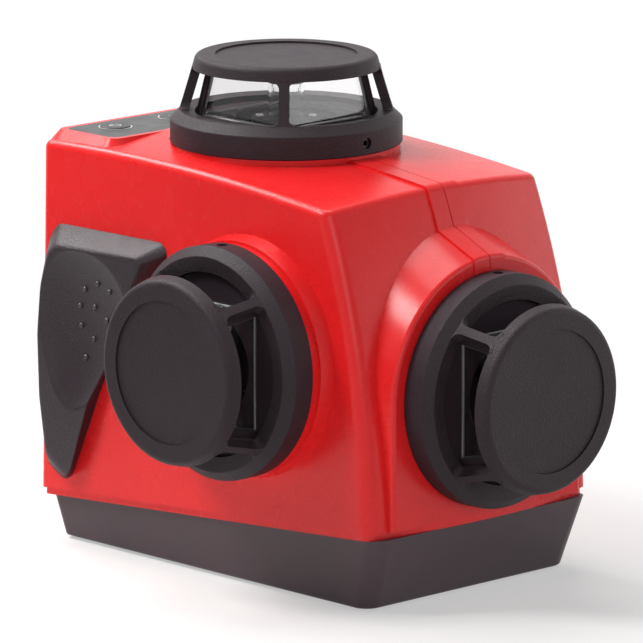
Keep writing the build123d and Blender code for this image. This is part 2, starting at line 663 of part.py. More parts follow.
def turret_cage():
    """Ring, four leaning struts and cap, moulded in one."""
    ring = turned(
        (RING_BORE, 0), (RING_R, 0), (RING_R, RING_WALL_H),
        (DECK_R, DECK_H), (RING_BORE, DECK_H - DECK_DIP),
    )
    ring = fillet(ring.edges().filter_by(GeomType.CIRCLE).sort_by(lambda e: e.radius)[-3:], RING_ROUND)
    cap = turned((0, CAP_UNDER_H), (CAP_R, CAP_UNDER_H), (CAP_FACE_R, CAP_H), (0, CAP_H))
    cap = fillet(cap.edges().filter_by(GeomType.CIRCLE).sort_by(Axis.Z)[-1:], CAP_ROUND)
    cap -= rod(CAP_RECESS_R, CAP_THICKNESS, Pos(0, 0, CAP_H - CAP_RECESS))
    foot, head = DECK_H - STRUT_ROOT, CAP_UNDER_H + STRUT_ROOT
    outer_foot = DECK_R + STRUT_LEAN * STRUT_ROOT
    outer_head = CAP_R - STRUT_LEAN * STRUT_ROOT
    outline = Polyline(
        (outer_foot - STRUT_DEPTH, foot), (outer_foot, foot),
        (outer_head, head), (outer_head - STRUT_DEPTH, head), close=True,
    )
    strut = extrude(Plane.XZ * make_face(outline), STRUT_WIDTH / 2, both=True)
    inside = turned(
        (0, 0), (RING_R, 0), (RING_R, RING_WALL_H), (DECK_R, DECK_H),
        (CAP_R, CAP_UNDER_H), (CAP_R, CAP_H), (0, CAP_H),
    )
    cage = ring + cap
    for turn in (45, 135, 225, 315):
        cage += Rot(0, 0, turn) * strut & inside
    for turn in (ALONG_Y, ALONG_MINUS_Y):
        cage -= rod(SET_SCREW_R + SEAT_FIT, RING_R, Pos(0, 0, SET_SCREW_H) * turn)
    return cage


def set_screws():
    """Hexagon socket set screws that clamp the ring to its spigot."""
    tip = SPIGOT_R + SEAT_FIT
    length = RING_R - SET_SCREW_RECESS - tip
    socket = extrude(RegularPolygon(SET_SCREW_HEX / 2, 6), length)
    screw = rod(SET_SCREW_R, length) - Pos(0, 0, length / 2) * socket
    return [Pos(0, 0, SET_SCREW_H) * turn * Pos(0, 0, tip) * screw for turn in (ALONG_Y, ALONG_MINUS_Y)]


def frustum(foot_r, head_r, low, high):
    """Square frustum given by its corner radii at two heights."""
    foot, head = foot_r * math.sqrt(2), head_r * math.sqrt(2)
    faces = [Pos(0, 0, low) * Rectangle(foot, foot), Pos(0, 0, high) * Rectangle(head, head)]
    return loft(faces, ruled=True)


def window_posts(extra=0.0):
    """Four leaning corner posts of the glass frame."""
    posts = Part()
    for x, y in ((1, 1), (-1, 1), (-1, -1), (1, -1)):
        faces = []
        for r, z in ((POST_FOOT_R, GLASS_H), (POST_HEAD_R, HEAD_H)):
            side = POST_SIDE + 2 * extra
            faces.append(Pos(x * r / math.sqrt(2), y * r / math.sqrt(2), z) * Rectangle(side, side))
        posts += loft(faces, ruled=True)
    return posts


def window_frame():
    """Black frame that holds the glass: floor ring, corner posts and head plate."""
    floor = washer(FLOOR_HOLE_R, SPIGOT_R, FLOOR_H, FLOOR_THICKNESS)
    side = POST_HEAD_R * math.sqrt(2) + POST_SIDE
    head = Pos(0, 0, HEAD_H) * Box(side, side, FRAME_HEAD, align=ON_BOTTOM)
    return floor + window_posts() + head


def window_panes():
    """Four leaning sheets of glass between the corner posts."""
    shell = frustum(POST_FOOT_R, POST_HEAD_R, GLASS_H, HEAD_H)
    inset = PANE_THICKNESS * math.sqrt(2)
    shell -= frustum(POST_FOOT_R - inset, POST_HEAD_R - inset, GLASS_H, HEAD_H)
    return list((shell - window_posts(SEAT_FIT)).solids())


def turret_gasket():
    """Flat seal between the spigot and the glass frame."""
    return washer(SPIGOT_BORE, SPIGOT_R, SPIGOT_H, GASKET_THICKNESS)


def laser_barrel(root):
    """Collimator tube from its socket in the pendulum to the flanged head in the turret."""
    low = -root - SOCKET_DEPTH
    tube = rod(BARREL_R, BARREL_HEAD_H - low, Pos(0, 0, low))
    tube += rod(HEAD_R, HEAD_THICKNESS, Pos(0, 0, BARREL_HEAD_H))
    beam_r = OPTIC_R - OPTIC_WALL - LOOSE_FIT
    tube -= rod(beam_r, HEAD_THICKNESS + SOCKET_DEPTH, Pos(0, 0, BARREL_HEAD_H - SOCKET_DEPTH))
    for place in head_screw_places():
        tube -= place * rod(TINY_SCREW_R + SEAT_FIT, TINY_LENGTH, Pos(0, 0, -TINY_LENGTH))
    return tube


def head_screw_places():
    """Places of the tiny screws in a barrel head."""
    spot = Pos(HEAD_SCREW_PCD_R, 0, BARREL_HEAD_H + HEAD_THICKNESS)
    return [Rot(0, 0, turn) * spot for turn in (135, 315)]


def head_screws():
    """Tiny screws of the three barrel heads."""
    screw = pan_screw(TINY_SCREW_R, TINY_HEAD_R, TINY_HEAD_H, TINY_LENGTH)
    return [place * spot * screw for place in TURRETS.values() for spot in head_screw_places()]


def optic_tube():
    """Clear tube on the barrel head, round the beam."""
    return washer(OPTIC_R - OPTIC_WALL, OPTIC_R, BARREL_HEAD_H + HEAD_THICKNESS, OPTIC_LENGTH)


def cone_mirror():
    """Conical mirror in the end of the clear tube that spreads the beam into a full circle."""
    top = BARREL_HEAD_H + HEAD_THICKNESS + OPTIC_LENGTH
    plug = OPTIC_R - OPTIC_WALL - SEAT_FIT
    return turned(
        (0, top + MIRROR_CAP), (OPTIC_R, top + MIRROR_CAP), (OPTIC_R, top),
        (plug, top), (plug, top - MIRROR_CAP), (0, top - MIRROR_CAP - plug),
    )


def gimbal_bracket():
    """Inverted channel under the housing's top that carries the outer gimbal bearings."""
    reach = EAR_START + EAR_THICKNESS
    across = (PIVOT_Y - EAR_HALF, PIVOT_Y + EAR_HALF)
    bracket = block((-reach, reach), across, (BRACKET_PLATE_Z, BRACKET_PLATE_Z + BRACKET_PLATE))
    for turn in (ALONG_X, ALONG_MINUS_X):
        ear = Box(2 * EAR_HALF, 2 * EAR_HALF, EAR_THICKNESS, align=ON_BOTTOM)
        bracket += Pos(0, PIVOT_Y, PIVOT_Z) * turn * Pos(0, 0, EAR_START) * ear
    for side in (-1, 1):
        near, far = sorted((side * EAR_START, side * reach))
        bracket += block((near, far), across, (PIVOT_Z, BRACKET_PLATE_Z))
        hole = Pos(side * BRACKET_SCREW_X, PIVOT_Y, BRACKET_PLATE_Z)
        bracket -= rod(SMALL_SCREW_R + LOOSE_FIT, BRACKET_PLATE, hole)
    return bracket - bearing_seats((ALONG_X, ALONG_MINUS_X))


def bearing_seats(turns):
    """Pockets for two bearings on one gimbal axis, with a relief for the pin's end."""
    seats = Part()
    for turn in turns:
        place = Pos(0, PIVOT_Y, PIVOT_Z) * turn
        seats += rod(BEARING_R + SEAT_FIT, BEARING_WIDTH, place * Pos(0, 0, EAR_START))
        seats += rod(PIN_R + 2 * LOOSE_FIT, EAR_THICKNESS, place * Pos(0, 0, EAR_START))
    return seats


def bearings(turns):
    """Two small bearings on one gimbal axis."""
    race = washer(PIN_R + RUNNING_FIT, BEARING_R, 0, BEARING_WIDTH)
    groove = washer(PIN_R + RACE_WALL, BEARING_R - RACE_WALL, 0, RACE_GROOVE)
    race -= Pos(0, 0, BEARING_WIDTH - RACE_GROOVE) * groove
    return [Pos(0, PIVOT_Y, PIVOT_Z) * turn * Pos(0, 0, EAR_START) * race for turn in turns]


def gimbal_turns():
    """Directions of the four gimbal pins."""
    return (ALONG_X, ALONG_MINUS_X, ALONG_Y, ALONG_MINUS_Y)


def gimbal_ring():
    """Ring between the bracket and the pendulum, drilled for its four pins."""
    ring = rod(GIMBAL_R, GIMBAL_HEIGHT, Pos(0, 0, -GIMBAL_HEIGHT / 2))
    ring -= rod(GIMBAL_BORE, 2 * GIMBAL_HEIGHT, Pos(0, 0, -GIMBAL_HEIGHT))
    for turn in gimbal_turns():
        ring -= turn * rod(PIN_R + SEAT_FIT, GIMBAL_R)
    return Pos(0, PIVOT_Y, PIVOT_Z) * ring


def gimbal_pins():
    """Four pins in the gimbal ring that run in the bearings."""
    length = EAR_START + BEARING_WIDTH + SLIDE_GAP - GIMBAL_BORE
    pin = rod(PIN_R, length, Pos(0, 0, GIMBAL_BORE))
    return [Pos(0, PIVOT_Y, PIVOT_Z) * turn * pin for turn in gimbal_turns()]


def pendulum_frame():
    """Cast block with two ears on the gimbal and sockets for the three laser barrels."""
    frame = block((-BLOCK_HALF, BLOCK_HALF), (LOWER_Y, UPPER_Y), (BLOCK_FOOT_Z, BLOCK_TOP_Z))
    frame += block((-SHELF_HALF, SHELF_HALF), (UPPER_Y, SHELF_HALF), (SHELF_FOOT_Z, SHELF_TOP_Z))
    for y in (LOWER_Y, UPPER_Y - EAR_THICKNESS):
        frame += block((-EAR_HALF, EAR_HALF), (y, y + EAR_THICKNESS), (BLOCK_TOP_Z, PIVOT_Z + EAR_HALF))
    for name, place in TURRETS.items():
        depth = BARREL_ROOTS[name] + SOCKET_DEPTH
        frame -= place * rod(BARREL_R + SEAT_FIT, depth, Pos(0, 0, -depth))
    return frame - bearing_seats((ALONG_Y, ALONG_MINUS_Y))


def damping_plate():
    """Copper plate under the pendulum that moves over the magnets."""
    low = BLOCK_FOOT_Z - PLATE_THICKNESS
    return block((-PLATE_HALF, PLATE_HALF), (LOWER_Y, UPPER_Y), (low, BLOCK_FOOT_Z))


def counterweight():
    """Brass weight that balances the side laser."""
    weight = rod(WEIGHT_R, WEIGHT_LENGTH, Pos(BLOCK_HALF, WEIGHT_Y, WEIGHT_Z) * ALONG_X)
    return chamfer(weight.edges().sort_by(Axis.X)[-1:], SLOT_WIDTH)


def magnet_bracket():
    """Stand on the base floor with two magnet towers and a bearing post for the lock shaft."""
    reach = MAGNET_OFFSET_Y + TOWER_DEPTH / 2
    foot_y = (PIVOT_Y - reach, PIVOT_Y + reach)
    stand = block((LOCK_END_X, TOWER_HALF), foot_y, (BASE_FLOOR, BASE_FLOOR + TOWER_FOOT))
    for y in (PIVOT_Y - MAGNET_OFFSET_Y, PIVOT_Y + MAGNET_OFFSET_Y):
        tower_y = (y - TOWER_DEPTH / 2, y + TOWER_DEPTH / 2)
        stand += block((-TOWER_HALF, TOWER_HALF), tower_y, (BASE_FLOOR, MAGNET_TOP_Z - MAGNET_THICKNESS))
    post_x = (LOCK_END_X, LOCK_END_X + LOCK_POST_THICKNESS)
    post_y = (PIVOT_Y - LOCK_POST_HALF, PIVOT_Y + LOCK_POST_HALF)
    stand += block(post_x, post_y, (BASE_FLOOR, LOCK_Z + LOCK_POST_HALF))
    bore = Pos(LOCK_END_X, PIVOT_Y, LOCK_Z) * ALONG_X
    return stand - rod(LOCK_SHAFT_R + RUNNING_FIT, LOCK_POST_THICKNESS, bore)


def damping_magnets():
    """Two disc magnets on the towers."""
    magnet = rod(MAGNET_R, MAGNET_THICKNESS, Pos(0, 0, MAGNET_TOP_Z - MAGNET_THICKNESS))
    return [Pos(0, PIVOT_Y + side * MAGNET_OFFSET_Y, 0) * magnet for side in (-1, 1)]


def knob_x():
    """X of the knob's inner face, clear of the drafted side wall."""
    return side_x(LOCK_Z - KNOB_R) + KNOB_GAP


def lock_shaft():
    """Shaft with a cam that lifts against the pendulum when the knob is turned."""
    shaft = rod(LOCK_SHAFT_R, knob_x() + KNOB_BASE - LOCK_END_X, Pos(LOCK_END_X, 0, 0) * ALONG_X)
    nose = CAM_LIFT - CAM_NOSE_R
    lobe = make_hull((Circle(LOCK_SHAFT_R + CAM_NOSE_R) + Pos(0, nose) * Circle(CAM_NOSE_R)).edges())
    cam = extrude(Plane.YZ * Rot(0, 0, 90) * lobe, CAM_WIDTH / 2, both=True)
    return Pos(0, PIVOT_Y, LOCK_Z) * (shaft + cam)


def lock_knob():
    """Turn knob with a grip bar on the right side."""
    base = rod(KNOB_R, KNOB_BASE)
    base = fillet(base.edges().sort_by(Axis.Z)[-1:], KNOB_BASE / 3)
    bar = extrude(SlotOverall(2 * KNOB_R, KNOB_BAR_WIDTH), KNOB_BASE + KNOB_BAR)
    bar = fillet(bar.faces().sort_by(Axis.Z)[-1].edges(), KNOB_BAR_WIDTH / 6)
    knob = base + bar
    knob -= rod(LOCK_SHAFT_R + SEAT_FIT, KNOB_BASE)
    return Pos(knob_x(), PIVOT_Y, LOCK_Z) * ALONG_X * knob


def cell_places():
    """Y and Z of each battery cell's axis."""
    pitch = 2 * CELL_R + CELL_GAP
    first_y = HOLDER_FRONT_Y + HOLDER_WALL + CELL_GAP + CELL_R
    first_z = HOLDER_FOOT_Z + HOLDER_WALL + CELL_GAP + CELL_R
    return [(first_y + i * pitch, first_z + j * pitch) for i in (0, 1) for j in (0, 1)]


def main_board_places():
    """X and Z of the main board's screws."""
    edge = HOLDER_WALL + STANDOFF_R
    reach = HOLDER_HALF - edge
    return [(x, z) for x in (-reach, reach) for z in (HOLDER_FOOT_Z + edge, HOLDER_TOP_Z - edge)]


def battery_holder():
    """Box that is open to the back, with standoffs for the main board in front."""
    outer_x, inner_x = (-HOLDER_HALF, HOLDER_HALF), (-HOLDER_IN_HALF, HOLDER_IN_HALF)
    inner_y = HOLDER_FRONT_Y + HOLDER_WALL
    holder = block(outer_x, (HOLDER_FRONT_Y, HOLDER_BACK_Y), (HOLDER_FOOT_Z, HOLDER_TOP_Z))
    holder -= block(inner_x, (inner_y, BACK_Y), (HOLDER_FOOT_Z + HOLDER_WALL, HOLDER_TOP_Z - HOLDER_WALL))
    for x, z in main_board_places():
        holder += rod(STANDOFF_R, HOLDER_WALL, Pos(x, HOLDER_FRONT_Y, z) * ALONG_MINUS_Y)
        holder -= rod(SMALL_SCREW_R + SEAT_FIT, 2 * HOLDER_WALL, Pos(x, inner_y, z) * ALONG_MINUS_Y)
    return holder


def battery_cells():
    """Four round cells, each with its positive nub."""
    cell = rod(CELL_R, CELL_LENGTH - SLOT_WIDTH) + rod(CELL_R / 3, CELL_LENGTH)
    return [Pos(-CELL_LENGTH / 2, y, z) * ALONG_X * cell for y, z in cell_places()]


def battery_contacts():
    """Contact strips at both ends of the cells."""
    strips = []
    for y, z in cell_places():
        across, up = [(v - CONTACT_WIDTH / 2, v + CONTACT_WIDTH / 2) for v in (y, z)]
        strip = block((HOLDER_IN_HALF - CONTACT_THICKNESS, HOLDER_IN_HALF), across, up)
        tip = CELL_LENGTH / 2 + SLIDE_GAP
        strip += rod(CELL_R / 3, HOLDER_IN_HALF - tip, Pos(tip, y, z) * ALONG_X)
        strips += [strip, mirror(strip, Plane.YZ)]
    return strips


def battery_door():
    """Door in the back with a knuckle along its foot and a finger notch at its top."""
    panel = block((-DOOR_HALF, DOOR_HALF), (BACK_Y - DOOR_THICKNESS, BACK_Y), (DOOR_AXIS_Z, DOOR_TOP_Z))
    hinge = Pos(-DOOR_HALF, DOOR_AXIS_Y, DOOR_AXIS_Z) * ALONG_X
    panel += rod(DOOR_KNUCKLE_R, 2 * DOOR_HALF, hinge)
    panel -= rod(DOOR_PIN_R + RUNNING_FIT, 2 * DOOR_HALF, hinge)
    notch = Pos(0, BACK_Y + CELL_R, DOOR_TOP_Z) * Cylinder(CELL_R + DOOR_THICKNESS / 2, CELL_R)
    return panel - notch


def door_pin():
    """Steel pin of the battery door, held in the housing."""
    return rod(DOOR_PIN_R, 2 * DOOR_PIN_REACH, Pos(-DOOR_PIN_REACH, DOOR_AXIS_Y, DOOR_AXIS_Z) * ALONG_X)


def main_board():
    """Main circuit board between the pendulum and the battery."""
    along = (MAIN_BOARD_Y, MAIN_BOARD_Y + BOARD_THICKNESS)
    up = (HOLDER_FOOT_Z, HOLDER_FOOT_Z + MAIN_BOARD_HEIGHT)
    board = block((-MAIN_BOARD_HALF, MAIN_BOARD_HALF), along, up)
    for x, z in main_board_places():
        board -= rod(SMALL_SCREW_R + LOOSE_FIT, BOARD_THICKNESS, Pos(x, MAIN_BOARD_Y, z) * ALONG_Y)
    return board


def pieces():
    """Every node of the assembly by name: one solid, or a list of solids for a group."""
    left, right = shells()
    left_grip = grip()
    nodes = {
        "left_shell": left, "right_shell": right, "base_tray": base_tray(), "rubber_feet": rubber_feet(),
        "tripod_insert": tripod_insert(), "case_screws": case_screws(), "small_screws": small_screws(),
        "left_grip": left_grip, "right_grip": mirror(left_grip, Plane.YZ),
        "keypad_overlay": keypad_overlay(), "key_board": key_board(), "key_switches": key_switches(),
        "gimbal_bracket": gimbal_bracket(), "outer_bearings": bearings((ALONG_X, ALONG_MINUS_X)),
        "gimbal_ring": gimbal_ring(), "gimbal_pins": gimbal_pins(),
        "inner_bearings": bearings((ALONG_Y, ALONG_MINUS_Y)), "pendulum_frame": pendulum_frame(),
        "damping_plate": damping_plate(), "counterweight": counterweight(), "head_screws": head_screws(),
        "magnet_bracket": magnet_bracket(), "damping_magnets": damping_magnets(),
        "lock_shaft": lock_shaft(), "lock_knob": lock_knob(), "battery_holder": battery_holder(),
        "battery_cells": battery_cells(), "battery_contacts": battery_contacts(),
        "battery_door": battery_door(), "door_pin": door_pin(), "main_board": main_board(),
    }
    for name, x in zip(("left_button", "middle_button", "right_button"), button_places()):
        nodes[name] = Pos(x, 0, 0) * button()
    for name, place in TURRETS.items():
        nodes[f"{name}_turret_cage"] = place * turret_cage()
        nodes[f"{name}_window_frame"] = place * window_frame()
        nodes[f"{name}_window_panes"] = [place * pane for pane in window_panes()]
        nodes[f"{name}_gasket"] = place * turret_gasket()
        nodes[f"{name}_set_screws"] = [place * screw for screw in set_screws()]
        nodes[f"{name}_laser_barrel"] = place * laser_barrel(BARREL_ROOTS[name])
        nodes[f"{name}_optic_tube"] = place * optic_tube()
        nodes[f"{name}_cone_mirror"] = place * cone_mirror()
    return nodes


os.makedirs("parts", exist_ok=True)
for node, shape in pieces().items():
    export_step(Compound(shape) if isinstance(shape, list) else shape, f"parts/{node}.step")
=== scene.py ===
"""Looks of a cross line laser level with three window turrets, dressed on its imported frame.

Lengths are metres and +Z is up. The front turret looks along -Y and the side turret along -X.
"""

import json
import logging
import math
from dataclasses import dataclass
from enum import Enum
from typing import Optional, Union

import bpy
import numpy as np
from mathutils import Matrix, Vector


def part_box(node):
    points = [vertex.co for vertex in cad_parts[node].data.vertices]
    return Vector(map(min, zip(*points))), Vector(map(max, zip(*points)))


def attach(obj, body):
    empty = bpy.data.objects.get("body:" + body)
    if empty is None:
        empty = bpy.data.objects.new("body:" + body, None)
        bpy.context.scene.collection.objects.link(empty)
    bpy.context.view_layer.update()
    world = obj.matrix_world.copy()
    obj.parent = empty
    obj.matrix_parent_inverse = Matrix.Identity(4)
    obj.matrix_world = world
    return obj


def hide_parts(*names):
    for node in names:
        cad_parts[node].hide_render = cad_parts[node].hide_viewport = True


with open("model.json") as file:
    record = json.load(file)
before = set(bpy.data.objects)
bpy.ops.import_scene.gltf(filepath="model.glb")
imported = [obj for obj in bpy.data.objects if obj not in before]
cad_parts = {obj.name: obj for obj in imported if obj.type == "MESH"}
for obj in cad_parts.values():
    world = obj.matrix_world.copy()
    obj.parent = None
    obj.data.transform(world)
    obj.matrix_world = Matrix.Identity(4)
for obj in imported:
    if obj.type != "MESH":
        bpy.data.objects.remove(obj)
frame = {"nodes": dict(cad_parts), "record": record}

LOG = logging.getLogger("laser_level")
MM = 0.001

Colour = tuple[float, float, float]
Point = tuple[float, float, float]
Range = tuple[float, float]
Outline = tuple[Range, ...]
Socket = bpy.types.NodeSocket
Value = Union[float, tuple, Socket]

WHITE: Colour = (1.0, 1.0, 1.0)
# Most values of a noise texture lie in this range.
NOISE_BULK: Range = (0.3, 0.7)
# Edges that turn further than this stay sharp.
CREASE = math.radians(45.0)
# Half width of the housing at height 0, and how much of it is lost for each metre of height.
WALL_HALF = 42.0 * MM
WALL_DRAFT = 0.0215


class Slot(Enum):
    """Material slots of the record."""

    RED_SHELL = "red_shell"
    DARK_BASE = "dark_base"
    BLACK_FRAME = "black_frame"
    INNER_PLASTIC = "inner_plastic"
    GRIP_RUBBER = "grip_rubber"
    FOOT_RUBBER = "foot_rubber"
    SEAL_RUBBER = "seal_rubber"
    KEY_RUBBER = "key_rubber"
    OVERLAY = "overlay"
    WINDOW_GLASS = "window_glass"
    OPTIC_GLASS = "optic_glass"
    MIRROR = "mirror"
    BARREL_METAL = "barrel_metal"
    PENDULUM_METAL = "pendulum_metal"
    STEEL = "steel"
    DARK_STEEL = "dark_steel"
    BRASS = "brass"
    COPPER = "copper"
    MAGNET = "magnet"
    BOARD = "board"
    SWITCH = "switch"
    CELL = "cell"
    KNOB = "knob"


class Run(Enum):
    """Direction in which the marks of a machined surface run, as the stretch of its pattern."""

    ALONG_X = (0.04, 1.0, 1.0)
    ALONG_Y = (1.0, 0.04, 1.0)
    ALONG_Z = (1.0, 1.0, 0.04)


class Side(Enum):
    """Side of the housing, as the sign of X."""

    LEFT = -1.0
    RIGHT = 1.0


class Place(Enum):
    """Seat of a turret: its origin, then the directions across, along and out of the seat."""

    TOP = ((0.0, 0.0, 112.0), (1.0, 0.0, 0.0), (0.0, 1.0, 0.0), (0.0, 0.0, 1.0))
    SIDE = ((-46.9, -28.1, 62.5), (0.0, -1.0, 0.0), (0.0, 0.0, 1.0), (-1.0, 0.0, 0.0))
    FRONT = ((0.0, -77.6, 55.7), (1.0, 0.0, 0.0), (0.0, 0.0, 1.0), (0.0, -1.0, 0.0))

    def world(self, local: np.ndarray) -> np.ndarray:
        """Points given on the seat, as points of the whole tool.

        Args:
            local: points as (..., axis), in metres.

        Returns:
            The same points in the frame of the tool.
        """
        origin, *axes = self.value
        return np.array(origin) * MM + local @ np.array(axes)


# Room that each turret's barrel needs to either side of it in the floor's hole.
SWINGS: dict[Place, float] = {Place.TOP: 2.0 * MM, Place.SIDE: 3.6 * MM, Place.FRONT: 4.2 * MM}


class Graph:
    """Node tree of a material or world, with short calls for the nodes that several of them share."""

    def __init__(self, owner: Union[bpy.types.Material, bpy.types.World]) -> None:
        """Starts an empty tree.

        Args:
            owner: the material or world that the tree belongs to.
        """
        owner.use_nodes = True
        self.tree = owner.node_tree
        self.tree.nodes.clear()

    @property
    def place(self) -> Socket:
        """Object coordinates."""
        return self.add("ShaderNodeTexCoord").outputs["Object"]

    def add(self, kind: str, settings: Optional[dict] = None, **inputs: Value) -> bpy.types.Node:
        """Adds a node.

        Args:
            kind: Blender's type name of the node.
            settings: properties of the node itself.
            inputs: sockets by name, with _ for a space; a socket is linked, a value is set.

        Returns:
            The new node.
        """
        node = self.tree.nodes.new(kind)
        for key, value in (settings or {}).items():
            setattr(node, key, value)
        for key, value in inputs.items():
            self.feed(node.inputs[key.replace("_", " ")], value)
        return node

    def feed(self, target: Socket, value: Value) -> None:
        """Links a socket to another one, or sets its value.

        Args:
            target: the input socket.
            value: an output socket, a number or a colour of three numbers.
        """
        if isinstance(value, bpy.types.NodeSocket):
            self.tree.links.new(value, target)
        elif target.type == "RGBA":
            target.default_value = (*value, 1.0)
        else:
            target.default_value = value

    def stretched(self, stretch: Point) -> Socket:
        """Object coordinates scaled by axis.

        Args:
            stretch: factor along X, Y and Z.

        Returns:
            The vector socket.
        """
        return self.add("ShaderNodeMapping", None, Vector=self.place, Scale=stretch).outputs[0]

    def noise(self, size: float, detail: float = 2.0, place: Optional[Socket] = None) -> Socket:
        """Cloudy noise.

        Args:
            size: width of one cloud in metres.
            detail: octaves of finer clouds.
            place: coordinates, the object's own where none are given.

        Returns:
            The factor socket.
        """
        return self.add("ShaderNodeTexNoise", None, Vector=place or self.place, Scale=1.0 / size,
                        Detail=detail).outputs[0]

    def cells(self, size: float) -> Socket:
        """Distance to scattered points.

        Args:
            size: mean spacing of the points in metres.

        Returns:
            The distance socket.
        """
        points = self.add("ShaderNodeTexVoronoi", None, Vector=self.place, Scale=1.0 / size)
        return points.outputs["Distance"]

    def span(self, value: Socket, low: float, high: float, out_low: float, out_high: float) -> Socket:
        """Maps a range of values to another, clamped at both ends.

        Args:
            value: the input.
            low: input that gives out_low.
            high: input that gives out_high.
            out_low: result at low.
            out_high: result at high.

        Returns:
            The result socket.
        """
        node = self.add("ShaderNodeMapRange", None, Value=value)
        for key, number in zip(("From Min", "From Max", "To Min", "To Max"), (low, high, out_low, out_high)):
            node.inputs[key].default_value = number
        return node.outputs[0]

    def mix(self, share: Socket, first: Value, second: Value) -> Socket:
        """Colour between two others.

        Args:
            share: 0 gives first and 1 gives second.
            first: colour or socket.
            second: colour or socket.

        Returns:
            The colour socket.
        """
        node = self.add("ShaderNodeMix", {"data_type": "RGBA"})
        for index, value in ((0, share), (6, first), (7, second)):
            self.feed(node.inputs[index], value)
        return node.outputs[2]

    def maths(self, operation: str, first: Value, second: Value = 0.0) -> Socket:
        """One sum on two numbers.

        Args:
            operation: Blender's name of the sum.
            first: number or socket.
            second: number or socket.

        Returns:
            The result socket.
        """
        node = self.add("ShaderNodeMath", {"operation": operation})
        self.feed(node.inputs[0], first)
        self.feed(node.inputs[1], second)
        return node.outputs[0]

    def bump(self, height: Socket, depth: float) -> Socket:
        """Normal of a relief.

        Args:
            height: relief from 0 to 1.
            depth: height of the relief in metres.

        Returns:
            The normal socket.
        """
        return self.add("ShaderNodeBump", None, Height=height, Distance=depth).outputs[0]

    def seen(self) -> Socket:
        """Whether a surface is seen, straight, mirrored or through glass, rather than lighting another one.

        Returns:
            The socket, which is 1 where it is seen and 0 elsewhere.
        """
        path = self.add("ShaderNodeLightPath").outputs
        indirect = self.maths("MAXIMUM", path["Is Glossy Ray"], path["Is Transmission Ray"])
        return self.maths("MAXIMUM", path["Is Camera Ray"], indirect)

    def end(self, shader: bpy.types.Node, output: str = "ShaderNodeOutputMaterial") -> None:
        """Ends the tree in a shader.

        Args:
            shader: the shader's node.
            output: Blender's type name of the output node.
        """
        self.feed(self.add(output).inputs["Surface"], shader.outputs[0])

    def surface(self, **inputs: Value) -> None:
        """Ends the tree in one principled shader.

        Args:
            inputs: sockets of the shader by name, with _ for a space.
        """
        self.end(self.add("ShaderNodeBsdfPrincipled", None, **inputs))


class Finish:
    """A finish that makes its own material on first use."""

    name: str

    def paint(self, graph: Graph) -> None:
        """Fills the node tree; each finish has its own way."""
        raise NotImplementedError

    def material(self) -> bpy.types.Material:
        """Returns the finish's material, made once."""
        made = bpy.data.materials.get(self.name)
        if made is None:
            made = bpy.data.materials.new(self.name)
            self.paint(Graph(made))
        return made


@dataclass(frozen=True)
class MouldedPlastic(Finish):
    """Moulded plastic or rubber with a spark-eroded grain and slightly uneven colour and gloss."""

    name: str
    colour: Colour
    tone: Colour
    roughness: float
    unevenness: float = 0.06
    grain: float = 0.4 * MM
    depth: float = 0.03 * MM
    specular: float = 0.5
    # Pale dots on the grain's peaks: partly the plastic's own pale grains, partly painted glint of light on
    # the grain.
    speckle_and_glint: float = 0.0
    speckle_and_glint_colour: Colour = (0.2, 0.2, 0.2)
    speckle_and_glint_edge: Range = (0.56, 0.72)
    cloud: float = 30 * MM
    cloud_edge: Range = (0.35, 0.65)
    gloss_cloud: float = 6 * MM

    def paint(self, graph: Graph) -> None:
        """Wide clouds are the tone, small clouds the gloss, and the grain is both relief and pale dots on its
        peaks, partly the plastic's own pale grains and partly painted glint.
        """
        clouds = graph.span(graph.noise(self.cloud, 3.0), *self.cloud_edge, 0.0, 1.0)
        colour = graph.mix(clouds, self.colour, self.tone)
        grain = graph.noise(self.grain, 3.0)
        # Painted glint: pale dots on the grain's peaks, the same under any lamp, partly the plastic's own
        # pale grains.
        if self.speckle_and_glint > 0.0:
            speckle_and_glint_flecks = graph.span(grain, *self.speckle_and_glint_edge, 0.0, self.speckle_and_glint)
            colour = graph.mix(speckle_and_glint_flecks, colour, self.speckle_and_glint_colour)
        gloss = graph.span(graph.noise(self.gloss_cloud, 4.0), *NOISE_BULK, self.roughness - self.unevenness,
                           self.roughness + self.unevenness)
        graph.surface(Base_Color=colour, Roughness=gloss, Normal=graph.bump(grain, self.depth),
                      Specular_IOR_Level=self.specular)


@dataclass(frozen=True)
class MachinedMetal(Finish):
    """Bare or plated metal with fine marks along one direction and a little tarnish."""

    name: str
    colour: Colour
    tarnish: Colour
    roughness: float
    run: Run
    mark: float = 0.25 * MM
    depth: float = 0.004 * MM
    spread: float = 0.3
    cloud: float = 5 * MM
    cloud_edge: Range = (0.45, 0.7)

    def paint(self, graph: Graph) -> None:
        """Marks are noise stretched along the run; tarnish is clouds of noise."""
        marks = graph.noise(self.mark, 3.0, graph.stretched(self.run.value))
        clouds = graph.span(graph.noise(self.cloud, 3.0), *self.cloud_edge, 0.0, 1.0)
        rough = graph.span(marks, *NOISE_BULK, self.roughness * (1.0 - self.spread),
                           self.roughness * (1.0 + self.spread))
        graph.surface(Base_Color=graph.mix(clouds, self.colour, self.tarnish), Metallic=1.0, Roughness=rough,
                      Normal=graph.bump(marks, self.depth))


@dataclass(frozen=True)
class ClearGlass(Finish):
    """Clear pane with a faint tint and smears that dull its gloss."""

    name: str
    tint: Colour
    ior: float
    roughness: float
    smear: float = 7 * MM
    smear_edge: Range = (0.45, 0.75)

    def paint(self, graph: Graph) -> None:
        """Smears are clouds of noise in the roughness."""
        smears = graph.span(graph.noise(self.smear, 3.0), *self.smear_edge, 0.0, self.roughness)
        graph.surface(Base_Color=self.tint, Roughness=smears, IOR=self.ior, Transmission_Weight=1.0)


